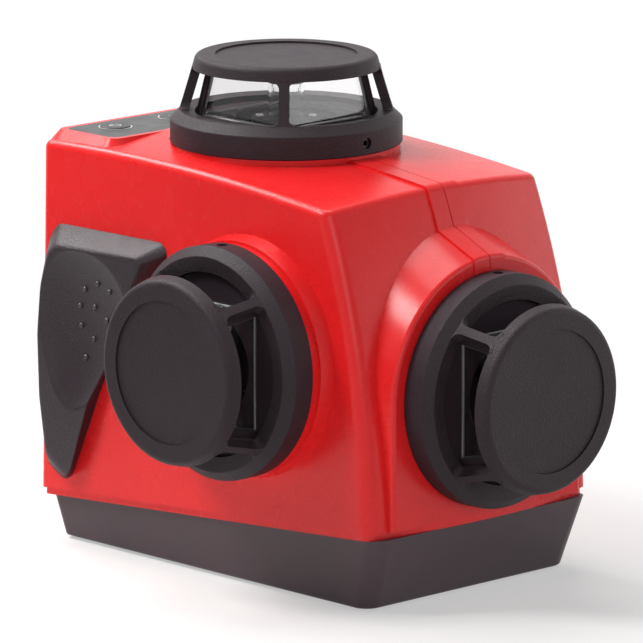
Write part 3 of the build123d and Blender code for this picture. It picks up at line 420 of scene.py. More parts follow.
@dataclass(frozen=True)
class PrintedBoard(Finish):
    """Circuit board: lacquer over woven glass, with tracks and round pads showing through."""

    name: str
    lacquer: Colour
    track: Colour
    pad: Colour
    slope: float = math.radians(30.0)
    track_scale: float = 260.0
    track_width: float = 0.05
    track_share: float = 0.7
    track_height: float = 0.03 * MM
    pad_pitch: float = 3.2 * MM
    pad_edge: Range = (0.16, 0.2)
    pad_metal: float = 0.9
    weave: float = 0.5 * MM
    gloss: Range = (0.28, 0.42)

    def paint(self, graph: Graph) -> None:
        """Tracks are the joints of a brick pattern on the board's plane; pads are scattered dots."""
        flat = graph.add("ShaderNodeMapping", None, Vector=graph.place, Rotation=(self.slope, 0.0, 0.0))
        bricks = graph.add("ShaderNodeTexBrick", None, Vector=flat.outputs[0], Scale=self.track_scale,
                           Mortar_Size=self.track_width)
        tracks = graph.span(bricks.outputs["Fac"], 0.2, 0.8, 0.0, self.track_share)
        pads = graph.span(graph.cells(self.pad_pitch), *self.pad_edge, 1.0, 0.0)
        weave = graph.noise(self.weave, 1.0)
        colour = graph.mix(pads, graph.mix(tracks, self.lacquer, self.track), self.pad)
        graph.surface(Base_Color=colour, Metallic=graph.span(pads, 0.0, 1.0, 0.0, self.pad_metal),
                      Roughness=graph.span(weave, *NOISE_BULK, *self.gloss),
                      Normal=graph.bump(tracks, self.track_height))


@dataclass(frozen=True)
class CellWrap(Finish):
    """Shrink wrap of a round cell with a paler collar at one end and bare metal at both ends."""

    name: str
    wrap: Colour
    collar: Colour
    metal: Colour
    half_length: float = 24.4 * MM
    collar_start: float = 14.0 * MM
    crease: float = 1.2 * MM
    depth: float = 0.02 * MM
    gloss: Range = (0.22, 0.4)

    def paint(self, graph: Graph) -> None:
        """The place along X picks wrap, collar or metal."""
        along = graph.add("ShaderNodeSeparateXYZ", None, Vector=graph.place).outputs[0]
        collar = graph.maths("GREATER_THAN", along, self.collar_start)
        bare = graph.maths("GREATER_THAN", graph.maths("ABSOLUTE", along), self.half_length)
        creases = graph.noise(self.crease, 3.0, graph.stretched(Run.ALONG_X.value))
        colour = graph.mix(bare, graph.mix(collar, self.wrap, self.collar), self.metal)
        graph.surface(Base_Color=colour, Metallic=bare,
                      Roughness=graph.span(creases, *NOISE_BULK, *self.gloss),
                      Normal=graph.bump(creases, self.depth))


DULL_BLACK = MouldedPlastic("finish_dull_black", (0.034, 0.022, 0.0285), (0.028, 0.0182, 0.0235), 0.65,
                            grain=0.4 * MM, depth=0.03 * MM, specular=0.1)
# Grey beads at the glass: the pale grey is painted glint, standing in for light caught in clear glass edges.
BEAD_PAINTED_GLINT = MouldedPlastic("finish_clear_bead", (0.1, 0.094, 0.097), (0.05, 0.047, 0.0485), 0.14,
                            grain=0.9 * MM, depth=0.12 * MM, specular=1.0)
WORN_RUBBER = MouldedPlastic("finish_worn_rubber", (0.03, 0.0255, 0.028), (0.025, 0.021, 0.0235), 0.25,
                             unevenness=0.04, grain=0.3 * MM, depth=0.01 * MM, specular=0.6)
WHITE_INK = MouldedPlastic("finish_white_ink", (0.72, 0.72, 0.7), (0.66, 0.66, 0.64), 0.5,
                           grain=0.2 * MM, depth=0.004 * MM)
FINISHES: dict[Slot, Finish] = {
    Slot.RED_SHELL: MouldedPlastic("finish_red_shell", (0.76, 0.016, 0.018), (0.72, 0.014, 0.016), 0.27,
                                   unevenness=0.02, grain=0.7 * MM, depth=0.0015 * MM, specular=0.28),
    Slot.DARK_BASE: MouldedPlastic("finish_dark_base", (0.06, 0.036, 0.044), (0.052, 0.0315, 0.0385), 0.42,
                                   unevenness=0.03, grain=0.5 * MM, depth=0.03 * MM, specular=0.4),
    # Its pale dots on the grain are partly painted glint.
    Slot.BLACK_FRAME: MouldedPlastic("finish_black_frame", (0.0222, 0.0131, 0.0176), (0.019, 0.0112, 0.0151),
                                     0.49, unevenness=0.03, grain=0.4 * MM, depth=0.18 * MM, specular=0.22,
                                     speckle_and_glint=0.08),
    Slot.INNER_PLASTIC: MouldedPlastic("finish_inner_plastic", (0.05, 0.05, 0.053), (0.035, 0.035, 0.038),
                                       0.55),
    # Its pale dots on the grain are partly painted glint.
    Slot.GRIP_RUBBER: MouldedPlastic("finish_grip_rubber", (0.021, 0.0112, 0.016), (0.0178, 0.0096, 0.0136),
                                     0.42, unevenness=0.03, grain=0.5 * MM, depth=0.15 * MM, specular=0.42,
                                     speckle_and_glint=0.06),
    Slot.FOOT_RUBBER: MouldedPlastic("finish_foot_rubber", (0.02, 0.02, 0.021), (0.03, 0.029, 0.029), 0.8),
    Slot.SEAL_RUBBER: MouldedPlastic("finish_seal_rubber", (0.015, 0.015, 0.016), (0.02, 0.02, 0.02), 0.7),
    Slot.KEY_RUBBER: MouldedPlastic("finish_key_rubber", (0.04, 0.038, 0.04), (0.034, 0.033, 0.034), 0.5),
    Slot.OVERLAY: MouldedPlastic("finish_overlay", (0.03, 0.028, 0.03), (0.026, 0.025, 0.026), 0.38,
                                 grain=0.25 * MM, depth=0.008 * MM),
    Slot.WINDOW_GLASS: ClearGlass("finish_window_glass", (0.97, 0.958, 0.961), 1.5, 0.05),
    Slot.OPTIC_GLASS: ClearGlass("finish_optic_glass", (0.97, 0.98, 0.98), 1.52, 0.03),
    Slot.MIRROR: MachinedMetal("finish_mirror", (0.92, 0.92, 0.93), (0.88, 0.88, 0.9), 0.05, Run.ALONG_Z),
    Slot.BARREL_METAL: DULL_BLACK,
    Slot.PENDULUM_METAL: MachinedMetal("finish_pendulum_metal", (0.55, 0.55, 0.56), (0.42, 0.42, 0.43), 0.45,
                                       Run.ALONG_X, mark=0.8 * MM, depth=0.02 * MM),
    Slot.STEEL: MachinedMetal("finish_steel", (0.62, 0.62, 0.63), (0.5, 0.49, 0.48), 0.25, Run.ALONG_X),
    Slot.DARK_STEEL: MachinedMetal("finish_dark_steel", (0.05, 0.05, 0.055), (0.09, 0.085, 0.08), 0.4,
                                   Run.ALONG_Y),
    Slot.BRASS: MachinedMetal("finish_brass", (0.8, 0.58, 0.25), (0.6, 0.4, 0.16), 0.28, Run.ALONG_Z),
    Slot.COPPER: MachinedMetal("finish_copper", (0.86, 0.42, 0.28), (0.6, 0.26, 0.16), 0.3, Run.ALONG_Y),
    Slot.MAGNET: MachinedMetal("finish_magnet", (0.7, 0.69, 0.66), (0.6, 0.58, 0.54), 0.18, Run.ALONG_X),
    Slot.BOARD: PrintedBoard("finish_board", (0.012, 0.11, 0.04), (0.03, 0.22, 0.08), (0.85, 0.65, 0.3)),
    Slot.SWITCH: MouldedPlastic("finish_switch", (0.022, 0.022, 0.024), (0.03, 0.03, 0.03), 0.45),
    Slot.CELL: CellWrap("finish_cell", (0.03, 0.03, 0.033), (0.72, 0.42, 0.12), (0.7, 0.7, 0.7)),
    # Its pale dots on the grain are partly painted glint.
    Slot.KNOB: MouldedPlastic("finish_knob", (0.03, 0.029, 0.03), (0.024, 0.023, 0.024), 0.48,
                              depth=0.04 * MM, speckle_and_glint=0.4),
}
SLOTS: dict[str, Slot] = {row["node"]: Slot(row["material_slot"]) for row in frame["record"]["subparts"]}


def skin(name: str, rings: np.ndarray, loop: bool = False) -> bpy.types.Object:
    """Makes one mesh of closed surfaces, each a stack of rings of points.

    Neighbouring rings are joined by quads. The first and last ring are joined to each other, or else each is
    closed by a fan to a pole at its middle. Faces are turned outwards by the sign of the enclosed volume.

    Args:
        name: name of the object.
        rings: points as (surface, ring, place on the ring, axis), in metres.
        loop: whether the last ring leads back to the first.

    Returns:
        The object, linked to the scene, at the origin.
    """
    pieces, count, around, _ = rings.shape
    index = np.arange(pieces * count * around).reshape(pieces, count, around)
    stack = np.concatenate([index, index[:, :1]], axis=1) if loop else index
    low, high = stack[:, :-1], stack[:, 1:]
    quads = np.stack([low, np.roll(low, -1, 2), np.roll(high, -1, 2), high], axis=-1).reshape(-1, 4)
    points = rings.reshape(-1, 3)
    fans = np.empty((0, 3), int)
    if not loop:
        first, last = rings[:, 0].mean(axis=1), rings[:, -1].mean(axis=1)
        pole = len(points) + np.arange(pieces)[:, None] + np.zeros(around, int)
        start = np.stack([np.roll(index[:, 0], -1, 1), index[:, 0], pole], axis=-1)
        end = np.stack([index[:, -1], np.roll(index[:, -1], -1, 1), pole + pieces], axis=-1)
        fans = np.concatenate([start, end]).reshape(-1, 3)
        points = np.concatenate([points, first, last])
    solid = np.concatenate([quads[:, [0, 1, 2]], quads[:, [0, 2, 3]], fans])
    corner = points[solid]
    if np.einsum("ij,ij->", corner[:, 0], np.cross(corner[:, 1], corner[:, 2])) < 0.0:
        quads, fans = quads[:, ::-1], fans[:, ::-1]
    mesh = bpy.data.meshes.new(name)
    mesh.from_pydata(points.tolist(), [], quads.tolist() + fans.tolist())
    mesh.polygons.foreach_set("use_smooth", np.ones(len(mesh.polygons), bool))
    mesh.set_sharp_from_angle(angle=CREASE)
    mesh.update()
    piece = bpy.data.objects.new(name, mesh)
    bpy.context.scene.collection.objects.link(piece)
    return piece


def ribbon(path: np.ndarray, width: float, height: float, loop: bool) -> np.ndarray:
    """Rings of a flat strip that stands on a plane and follows a path in it.

    Each ring is the strip's oblong section at one point of the path, across the path and upwards.

    Args:
        path: points as (point, axis) in the plane, in metres.
        width: width of the strip.
        height: height of the strip.
        loop: whether the path is closed.

    Returns:
        Rings for skin, as (1, point, 4, axis), with heights from 0.
    """
    if loop:
        run = np.roll(path, -1, 0) - np.roll(path, 1, 0)
    else:
        run = np.gradient(path, axis=0)
    run /= np.linalg.norm(run, axis=1, keepdims=True)
    across = np.stack([-run[:, 1], run[:, 0]], axis=1) * width / 2
    sides = np.array([-1.0, 1.0, 1.0, -1.0])
    flat = path[:, None] + sides[:, None] * across[:, None]
    rise = np.broadcast_to(np.array([0.0, 0.0, height, height]), flat.shape[:2])
    return np.concatenate([flat, rise[..., None]], axis=2)[None]


def arc(radius: float, start: float, sweep: float, count: int) -> np.ndarray:
    """Points on a circle about the origin.

    Args:
        radius: radius in metres.
        start: angle of the first point in degrees.
        sweep: angle from the first to past the last point in degrees.
        count: number of points.

    Returns:
        Points as (point, axis).
    """
    angle = np.radians(start + sweep * np.arange(count) / count)
    return radius * np.stack([np.cos(angle), np.sin(angle)], axis=1)


def helix(radius: np.ndarray, height: np.ndarray, angle: np.ndarray, section: np.ndarray) -> np.ndarray:
    """Rings of a section swept along a screw line about the third axis.

    The line is at radius and height for each angle; the section's two axes lie outwards and along the axis.

    Args:
        radius: radius of the line at each point.
        height: height of the line at each point.
        angle: angle of each point in radians.
        section: closed outline as (point, axis), in metres.

    Returns:
        Rings for skin, as (1, point, place, axis).
    """
    reach = radius[:, None] + section[:, 0]
    rise = height[:, None] + section[:, 1]
    turn = np.broadcast_to(angle[:, None], reach.shape)
    return np.stack([reach * np.cos(turn), reach * np.sin(turn), rise], axis=2)[None]


def spun(shapes: list[np.ndarray], start: float) -> np.ndarray:
    """Repeats shapes at four quarter turns about the third axis.

    Args:
        shapes: surfaces as (ring, place on the ring, axis), in metres.
        start: angle of the first repeat in degrees.

    Returns:
        Rings for skin, as (surface, ring, place on the ring, axis).
    """
    turns = [np.array([(math.cos(t), math.sin(t), 0.0), (-math.sin(t), math.cos(t), 0.0), (0.0, 0.0, 1.0)])
             for t in np.radians(start + 90.0 * np.arange(4))]
    return np.concatenate([np.array(shapes) @ turn for turn in turns])


def wall(height: np.ndarray) -> np.ndarray:
    """Returns how far the leaning side walls stand from the middle at a height."""
    return WALL_HALF - WALL_DRAFT * height


def seat(piece: bpy.types.Object, body: str, finish: Finish) -> bpy.types.Object:
    """Gives a new piece its body and finish.

    Args:
        piece: the new object.
        body: body of the record that it moves with.
        finish: its look.

    Returns:
        The same object.
    """
    piece.data.materials.append(finish.material())
    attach(piece, body)
    LOG.info("made %s on %s", piece.name, body)
    return piece


@dataclass
class SubAssembly:
    """A group of CAD nodes that are dressed together, and the pieces that are added to them."""

    nodes: tuple[str, ...]

    def finish(self, node: str) -> Finish:
        """Returns the finish of a CAD node, which is that of its slot unless a group says otherwise."""
        return FINISHES[SLOTS[node]]

    def dress(self) -> None:
        """Gives each CAD node of the group its finish."""
        for name in self.nodes:
            mesh = frame["nodes"][name].data
            mesh.materials.clear()
            mesh.materials.append(self.finish(name).material())
            LOG.info("dressed %s as %s", name, SLOTS[name].value)

    def add(self) -> None:
        """Adds the group's own pieces; a group without any adds none."""

    def build(self) -> None:
        """Dresses the group's nodes and adds its pieces."""
        self.dress()
        self.add()


@dataclass
class Housing(SubAssembly):
    """Red shells on the dark base, with feet, screws and the tripod thread."""

    nodes: tuple[str, ...] = (
        "left_shell", "right_shell", "base_tray", "rubber_feet", "tripod_insert", "case_screws",
        "small_screws",
    )
    thread_radius: float = 2.55 * MM
    thread_pitch: float = 1.27 * MM
    thread_depth: float = 0.3 * MM
    thread_top: float = 9.0 * MM
    thread_flank: float = 0.42
    thread_crest: float = 0.2
    thread_sunk: float = 0.1 * MM
    turn_points: int = 48

    def add(self) -> None:
        """Cuts the look of the tripod thread: a V ridge on a screw line inside the insert's bore."""
        turns = (self.thread_top - self.thread_pitch) / self.thread_pitch
        angle = np.linspace(0.0, 2 * math.pi * turns, int(turns * self.turn_points))
        height = self.thread_pitch / 2 + angle * self.thread_pitch / (2 * math.pi)
        half = self.thread_pitch * self.thread_flank
        crest, deep, sunk = half * self.thread_crest, -self.thread_depth, self.thread_sunk
        section = np.array([(sunk, -half), (deep, -crest), (deep, crest), (sunk, half)])
        rings = helix(np.full(len(angle), self.thread_radius), height, angle, section)
        seat(skin("tripod_thread", rings), "root", FINISHES[Slot.BRASS])


@dataclass
class Turret(SubAssembly):
    """One window turret: cage, glass, seal and the laser optics behind it."""

    place: Place
    swing: float
    deck_height: float = 8.8 * MM
    deck_radius: float = 28.9 * MM
    cap_height: float = 20.2 * MM
    cap_radius: float = 25.5 * MM
    strut_half: float = 1.3 * MM
    strut_depth: float = 2.7 * MM
    web: float = 2.0 * MM
    web_sunk: float = 0.5 * MM
    web_points: int = 9
    floor_height: float = 5.3 * MM
    floor_hole: float = 13.6 * MM
    barrel_radius: float = 9.0 * MM
    shield: float = 0.7 * MM
    shield_points: int = 96
    glass_height: float = 6.8 * MM
    glass_top: float = 18.8 * MM
    glass_foot: float = 16.405 * MM
    glass_head: float = 14.425 * MM
    post_half: float = 1.0 * MM
    bead: float = 0.6 * MM
    bead_sunk: float = 0.2 * MM
    bead_points: int = 6
    bead_rings: int = 5

    @classmethod
    def at(cls, place: Place) -> "Turret":
        """Returns the turret at one place, with its CAD nodes and the swing of its barrel."""
        kinds = ("turret_cage", "window_frame", "window_panes", "gasket", "set_screws", "laser_barrel",
                 "optic_tube", "cone_mirror")
        return cls(tuple(f"{place.name.lower()}_{kind}" for kind in kinds), place, SWINGS[place])

    def finish(self, node: str) -> Finish:
        """Returns the node's own finish, but dull black for the frame, which keeps stray light down."""
        return DULL_BLACK if node.endswith("window_frame") else super().finish(node)

    def webs(self) -> bpy.types.Object:
        """Hollow fillets in the corners between the struts and the ring and cap.

        Each ring of points is a section through the web. Its front edge follows a quarter circle from the
        strut to the deck, its back edge follows the two walls of the corner, and both lean inwards as the
        strut does.

        Returns:
            The webs of all four struts as one object.
        """
        share = np.linspace(0.0, 1.0, self.web_points)
        turn = math.pi * (1.0 + share / 2)
        front = self.web * np.stack([1.0 + np.cos(turn), 1.0 + np.sin(turn)], axis=1)
        back = np.stack([np.clip(2 * share - 1, 0, 1), np.clip(1 - 2 * share, 0, 1)], axis=1) * self.web
        back = back - self.web_sunk * np.stack([share < 1.0, share > 0.0], axis=1)
        section = np.stack([back, back, front, front], axis=1)
        inward = np.array([1.0, 0.0, 0.0, 1.0]) * self.strut_depth
        lean = (self.deck_radius - self.cap_radius) / (self.cap_height - self.deck_height)
        webs = []
        for level, way in ((self.deck_height, 1.0), (self.cap_height, -1.0)):
            height = level + way * section[..., 1]
            reach = self.deck_radius - lean * (height - self.deck_height) - inward
            webs += [np.stack([reach, side * (self.strut_half + section[..., 0]), height], axis=-1)
                     for side in (-1.0, 1.0)]
        return skin(f"{self.place.name.lower()}_strut_webs", self.place.world(spun(webs, 45.0)))

    def shade_cone(self) -> bpy.types.Object:
        """Thin dull black cone that closes the floor's hole as far as the swinging barrel allows, swept round
        the axis; it stands in for the shade deep in the hole, painted shade.

        Returns:
            The cone.
        """
        inner = self.barrel_radius + self.swing
        high = self.floor_height
        low = high - (self.floor_hole - inner) / 2
        section = np.array([(self.floor_hole, high), (self.floor_hole, high + self.shield),
                            (inner, low + self.shield), (inner, low)])
        angle = np.linspace(0.0, 2 * math.pi, self.shield_points, endpoint=False)
        rings = helix(np.zeros(len(angle)), np.zeros(len(angle)), angle, section)
        return skin(f"{self.place.name.lower()}_dust_shield", self.place.world(rings), True)

    def beads(self) -> bpy.types.Object:
        """Beads that bed each pane, two along its posts and one along its foot; they stand for clear beads,
        and their pale grey colour is painted glint of the glass edges.

        A bead's section is a hollow quarter circle from the glass to the post or floor, closed by the
        corner's two sides a little inside them. The rings follow the pane's edge, which leans as the pane
        does.

        Returns:
            The beads of all four panes as one object.
        """
        turn = math.pi * (1.0 + np.linspace(0.0, 0.5, self.bead_points))
        hollow = self.bead * np.stack([1.0 + np.cos(turn), 1.0 + np.sin(turn)], axis=1)
        sunk = -self.bead_sunk
        wide, high = np.concatenate([hollow, [(self.bead, sunk), (sunk, sunk), (sunk, self.bead)]]).T
        share = np.linspace(0.0, 1.0, self.bead_rings)[:, None]
        out = self.glass_foot + share * (self.glass_head - self.glass_foot)
        rise = self.glass_height + share * (self.glass_top - self.glass_height)
        edge = out - self.post_half - high
        along = (2 * share - 1) * (self.glass_foot - self.post_half)
        paths = ((out + wide, -edge, rise), (out + wide, edge, rise),
                 (self.glass_foot + wide, along, self.glass_height + high))
        beads = [np.stack(np.broadcast_arrays(*path), axis=-1) for path in paths]
        return skin(f"{self.place.name.lower()}_glass_beads", self.place.world(spun(beads, 0.0)))

    def add(self) -> None:
        """Adds the webs of the cage, a dull black cone of painted shade in the floor's hole under the glass,
        and the beads that bed the glass, whose pale grey is painted glint.
        """
        seat(self.webs(), "root", FINISHES[Slot.BLACK_FRAME])
        # Painted shade: a dull black cone over the floor's hole.
        seat(self.shade_cone(), "root", DULL_BLACK)
        # The beads' pale grey is painted glint.
        seat(self.beads(), "root", BEAD_PAINTED_GLINT)


@dataclass
class Grip(SubAssembly):
    """Rubber grip on one side wall: a bevelled pad with a thumb dish and raised pimples in it."""

    side: Side
    sunk: float = 0.2 * MM
    foot_outline: Outline = (
        (48.0, 88.0), (5.8, 88.4), (3.4, 85.6), (25.8, 53.6), (30.8, 42.6), (41.4, 18.2),
        (44.8, 16.7), (51.6, 20.5), (52.3, 40.0), (52.3, 58.0), (52.1, 72.0), (51.6, 83.5),
    )
    crown_outline: Outline = (
        (43.2, 83.0), (10.4, 84.1), (10.0, 81.4), (23.8, 53.9), (30.0, 43.3), (38.3, 20.7),
        (41.2, 19.3), (48.3, 24.0), (50.8, 39.7), (51.2, 57.4), (49.5, 71.1), (46.3, 80.5),
    )
    pimple_places: Outline = (
        (33.6, 72.0), (27.9, 74.4), (22.7, 72.9), (36.1, 67.0), (30.1, 67.5), (25.0, 64.6), (36.0, 61.5),
        (31.0, 58.5), (34.1, 53.0),
    )
    middle: Range = (33.0, 64.0)
    corner: float = 1.4 * MM
    thick_foot: float = 3.6 * MM
    thick_top: float = 5.8 * MM
    foot_z: float = 19.3 * MM
    top_z: float = 84.1 * MM
    shoulder: float = 0.16
    rim: float = 0.95
    core: float = 0.02
    bevel_rings: int = 14
    shoulder_rings: int = 12
    face_rings: int = 48
    dish_middle: Range = (33.5, 60.5)
    dish_half: Range = (16.5, 22.5)
    dish_lean: float = 14.0
    dish_depth: float = 3.3 * MM
    dish_power: float = 0.8
    dish_taper: float = 0.32
    dish_narrowest: float = 0.2
    pimple_radius: float = 0.85 * MM
    pimple_height: float = 0.8 * MM
    pimple_root: float = -0.4
    pimple_tip: float = 0.02
    pimple_rings: int = 9
    pimple_around: int = 20
    around: int = 240

    @classmethod
    def on(cls, side: Side) -> "Grip":
        """Returns the grip on one side."""
        return cls((f"{side.name.lower()}_grip",), side)

    def outline(self, points: Outline) -> np.ndarray:
        """Corner points joined by straight runs and rounded by blurring the line along its length.

        Places along both outlines are shared out by the run lengths of the foot outline, so that they match.

        Args:
            points: corners as (Y, Z) in millimetres.

        Returns:
            The line as (place, axis), in metres.
        """
        lead = np.array(self.foot_outline + self.foot_outline[:1]) * MM
        corners = np.array(points + points[:1]) * MM
        knots = np.concatenate([[0.0], np.cumsum(np.linalg.norm(np.diff(lead, axis=0), axis=1))])
        along = np.arange(self.around) * knots[-1] / self.around
        line = np.interp(along, knots, corners[:, 0]) + 1j * np.interp(along, knots, corners[:, 1])
        blur = np.exp(-2.0 * (math.pi * self.corner * np.fft.fftfreq(self.around, along[1])) ** 2)
        line = np.fft.ifft(np.fft.fft(line) * blur)
        return np.stack([line.real, line.imag], axis=1)

    def crown(self, plan: np.ndarray) -> np.ndarray:
        """Height of the pad above the wall before the dish, growing evenly from foot to top.

        Args:
            plan: places as (..., Y and Z), in metres.

        Returns:
            Heights in metres.
        """
        share = (plan[..., 1] - self.foot_z) / (self.top_z - self.foot_z)
        return self.thick_foot + share * (self.thick_top - self.thick_foot)

    def dish(self, plan: np.ndarray) -> np.ndarray:
        """Depth of the thumb dish: a leaning egg, narrower below, deepest in its middle.

        Args:
            plan: places as (..., Y and Z), in metres.

        Returns:
            Depths in metres.
        """
        away = plan - np.array(self.dish_middle) * MM
        lean = math.radians(self.dish_lean)
        across = away[..., 0] * math.cos(lean) + away[..., 1] * math.sin(lean)
        up = away[..., 1] * math.cos(lean) - away[..., 0] * math.sin(lean)
        wide, tall = np.array(self.dish_half) * MM
        wide = wide * np.clip(1.0 + self.dish_taper * up / tall, self.dish_narrowest, 2.0)
        hollow = np.clip(1.0 - (across / wide) ** 2 - (up / tall) ** 2, 0.0, 1.0)
        return self.dish_depth * hollow ** self.dish_power

    def stand(self, plan: np.ndarray, height: np.ndarray) -> np.ndarray:
        """Points at a height above the leaning side wall.

        Args:
            plan: places as (..., Y and Z), in metres.
            height: heights above the wall.

        Returns:
            Points as (..., axis).
        """
        reach = wall(plan[..., 1]) + height
        return np.concatenate([(self.side.value * reach)[..., None], plan], axis=-1)

    def pad(self) -> bpy.types.Object:
        """Skin of the pad: rings climb the bevel, turn over a round shoulder and shrink towards the middle.

        Returns:
            The pad, which stands for the CAD grip.
        """
        foot, crown = self.outline(self.foot_outline), self.outline(self.crown_outline)
        middle = np.array(self.middle) * MM
        inner = middle + (crown - middle) * self.rim
        climb = np.linspace(0.0, 1.0 - self.shoulder, self.bevel_rings)[:, None, None]
        bend = np.linspace(0.0, 1.0, self.shoulder_rings)[1:-1, None, None]
        shrink = self.rim * np.linspace(1.0, self.core, self.face_rings)[:, None, None]
        start = foot + (crown - foot) * (1.0 - self.shoulder)
        bevel = foot + (crown - foot) * climb
        turn = (1 - bend) ** 2 * start + 2 * bend * (1 - bend) * crown + bend ** 2 * inner
        face = middle + (crown - middle) * shrink
        bend = bend[..., 0]
        full = self.crown(crown)
        rise = ((1 - bend) ** 2 * full * (1.0 - self.shoulder) + 2 * bend * (1 - bend) * full
                + bend ** 2 * self.crown(inner))
        plan = np.concatenate([bevel, turn, face])
        height = np.concatenate([climb[..., 0] * full, rise, self.crown(face)])
        height = height - self.dish(plan) * height / self.crown(plan)
        height[0] -= self.sunk
        return skin(f"{self.side.name.lower()}_grip_pad", self.stand(plan, height)[None])

    def pimples(self) -> bpy.types.Object:
        """Low domes on the floor of the dish, each a stack of shrinking circles.

        Returns:
            The domes as one object.
        """
        rise = np.linspace(self.pimple_root, 1.0, self.pimple_rings)
        radius = self.pimple_radius * np.sqrt(np.clip(1.0 - rise * np.abs(rise), self.pimple_tip, 1.0))
        circle = arc(1.0, 0.0, 360.0, self.pimple_around)
        middles = np.array(self.pimple_places) * MM
        floor = self.crown(middles) - self.dish(middles)
        plan = middles[:, None, None] + radius[:, None, None] * circle
        height = np.broadcast_to(floor[:, None, None] + rise[:, None] * self.pimple_height, plan.shape[:3])
        return skin(f"{self.side.name.lower()}_grip_pimples", self.stand(plan, height))

    def add(self) -> None:
        """Adds the pad in the CAD grip's place, and its pimples."""
        rubber = FINISHES[Slot.GRIP_RUBBER]
        pad = seat(self.pad(), "root", rubber)
        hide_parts(*self.nodes)
        seat(self.pimples(), "root", WORN_RUBBER)


@dataclass
class Keypad(SubAssembly):
    """Dark sheet with three keys, each in a printed ring and with a plain printed sign."""

    nodes: tuple[str, ...] = (
        "keypad_overlay", "key_board", "key_switches", "left_button", "middle_button", "right_button",
    )
    sheet_z: float = 112.6 * MM
    ring_gap: float = 0.75 * MM
    line: float = 0.28 * MM
    ink: float = 0.04 * MM
    ring_points: int = 96
    sign_radius: float = 1.5 * MM
    stroke_points: int = 9
    power_start: float = 125.0
    power_sweep: float = 290.0
    power_points: int = 40
    power_stroke: float = 0.45
    power_lift: float = 0.75
    cross: float = 0.8

    def signs(self) -> dict[str, list[np.ndarray]]:
        """Paths of the three signs: power, crossed lines, and a level line under an upright one.

        Returns:
            Paths by key, as (point, axis) about the key's middle.
        """
        size = self.sign_radius
        stroke = np.linspace(-1.0, 1.0, self.stroke_points)[:, None] * size
        flat, upright = stroke * np.array([1.0, 0.0]), stroke * np.array([0.0, 1.0])
        upper, lower = np.array([0.0, size * self.power_lift]), np.array([0.0, -size])
        bow = arc(size, self.power_start, self.power_sweep, self.power_points)
        return {
            "left": [bow, upright * self.power_stroke + upper],
            "middle": [(flat + upright) * self.cross, (flat - upright) * self.cross],
            "right": [flat + lower, upright],
        }

    def print_on(self, name: str, body: str, path: np.ndarray, place: np.ndarray, loop: bool) -> None:
        """Adds one printed line.

        Args:
            name: name of the piece.
            body: body that it moves with.
            path: points about the place, as (point, axis).
            place: point of the surface under it.
            loop: whether the path is closed.
        """
        rings = ribbon(path, self.line, self.ink, loop) + place
        seat(skin(name, rings, loop), body, WHITE_INK)

    def add(self) -> None:
        """Prints a ring on the sheet round each key and a sign on each key."""
        for key, paths in self.signs().items():
            low, high = (np.array(corner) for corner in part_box(f"{key}_button"))
            middle, radius = (low + high) / 2, (high - low)[0] / 2
            on_sheet = np.array([middle[0], middle[1], self.sheet_z])
            on_key = np.array([middle[0], middle[1], high[2]])
            ring = arc(radius - self.ring_gap, 0.0, 360.0, self.ring_points)
            self.print_on(f"{key}_key_ring", "root", ring, on_sheet, True)
            for number, path in enumerate(paths, 1):
                self.print_on(f"{key}_key_sign_{number}", f"{key}_button", path, on_key, False)


@dataclass
class Pendulum(SubAssembly):
    """Gimbal, pendulum block and its damping, which keep the beams level."""

    nodes: tuple[str, ...] = (
        "gimbal_bracket", "gimbal_ring", "gimbal_pins", "inner_bearings", "outer_bearings", "pendulum_frame",
        "counterweight", "damping_plate", "magnet_bracket", "damping_magnets", "head_screws",
    )


@dataclass
class Lock(SubAssembly):
    """Knob and shaft that clamp the pendulum, with a printed pointer and two marks for its ends."""

    nodes: tuple[str, ...] = ("lock_knob", "lock_shaft")
    line: float = 0.8 * MM
    ink: float = 0.05 * MM
    pointer: Range = (4.0 * MM, 11.0 * MM)
    mark: Range = (14.0 * MM, 16.5 * MM)
    points: int = 6

    def add(self) -> None:
        """Prints the pointer on the knob's bar and a mark on the wall at each end of its turn."""
        low, high = (np.array(corner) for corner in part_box("lock_knob"))
        axis = (low + high) / 2
        reach = np.linspace(*self.pointer, self.points)
        bar = ribbon(np.stack([np.zeros(self.points), reach], axis=1), self.line, self.ink, False)
        pointer = np.stack([high[0] + bar[..., 2], axis[1] + bar[..., 0], axis[2] + bar[..., 1]], axis=-1)
        seat(skin("lock_pointer", pointer), "lock", WHITE_INK)
        for name, turn in (("lock_mark_free", 0.0), ("lock_mark_held", 90.0)):
            reach = np.linspace(*self.mark, self.points)[:, None]
            way = np.array([math.sin(math.radians(turn)), math.cos(math.radians(turn))])
            strip = ribbon(reach * way, self.line, self.ink, False)
            across, up = axis[1] + strip[..., 0], axis[2] + strip[..., 1]
            out = wall(up) + strip[..., 2]
            seat(skin(name, np.stack([out, across, up], axis=-1)), "root", WHITE_INK)


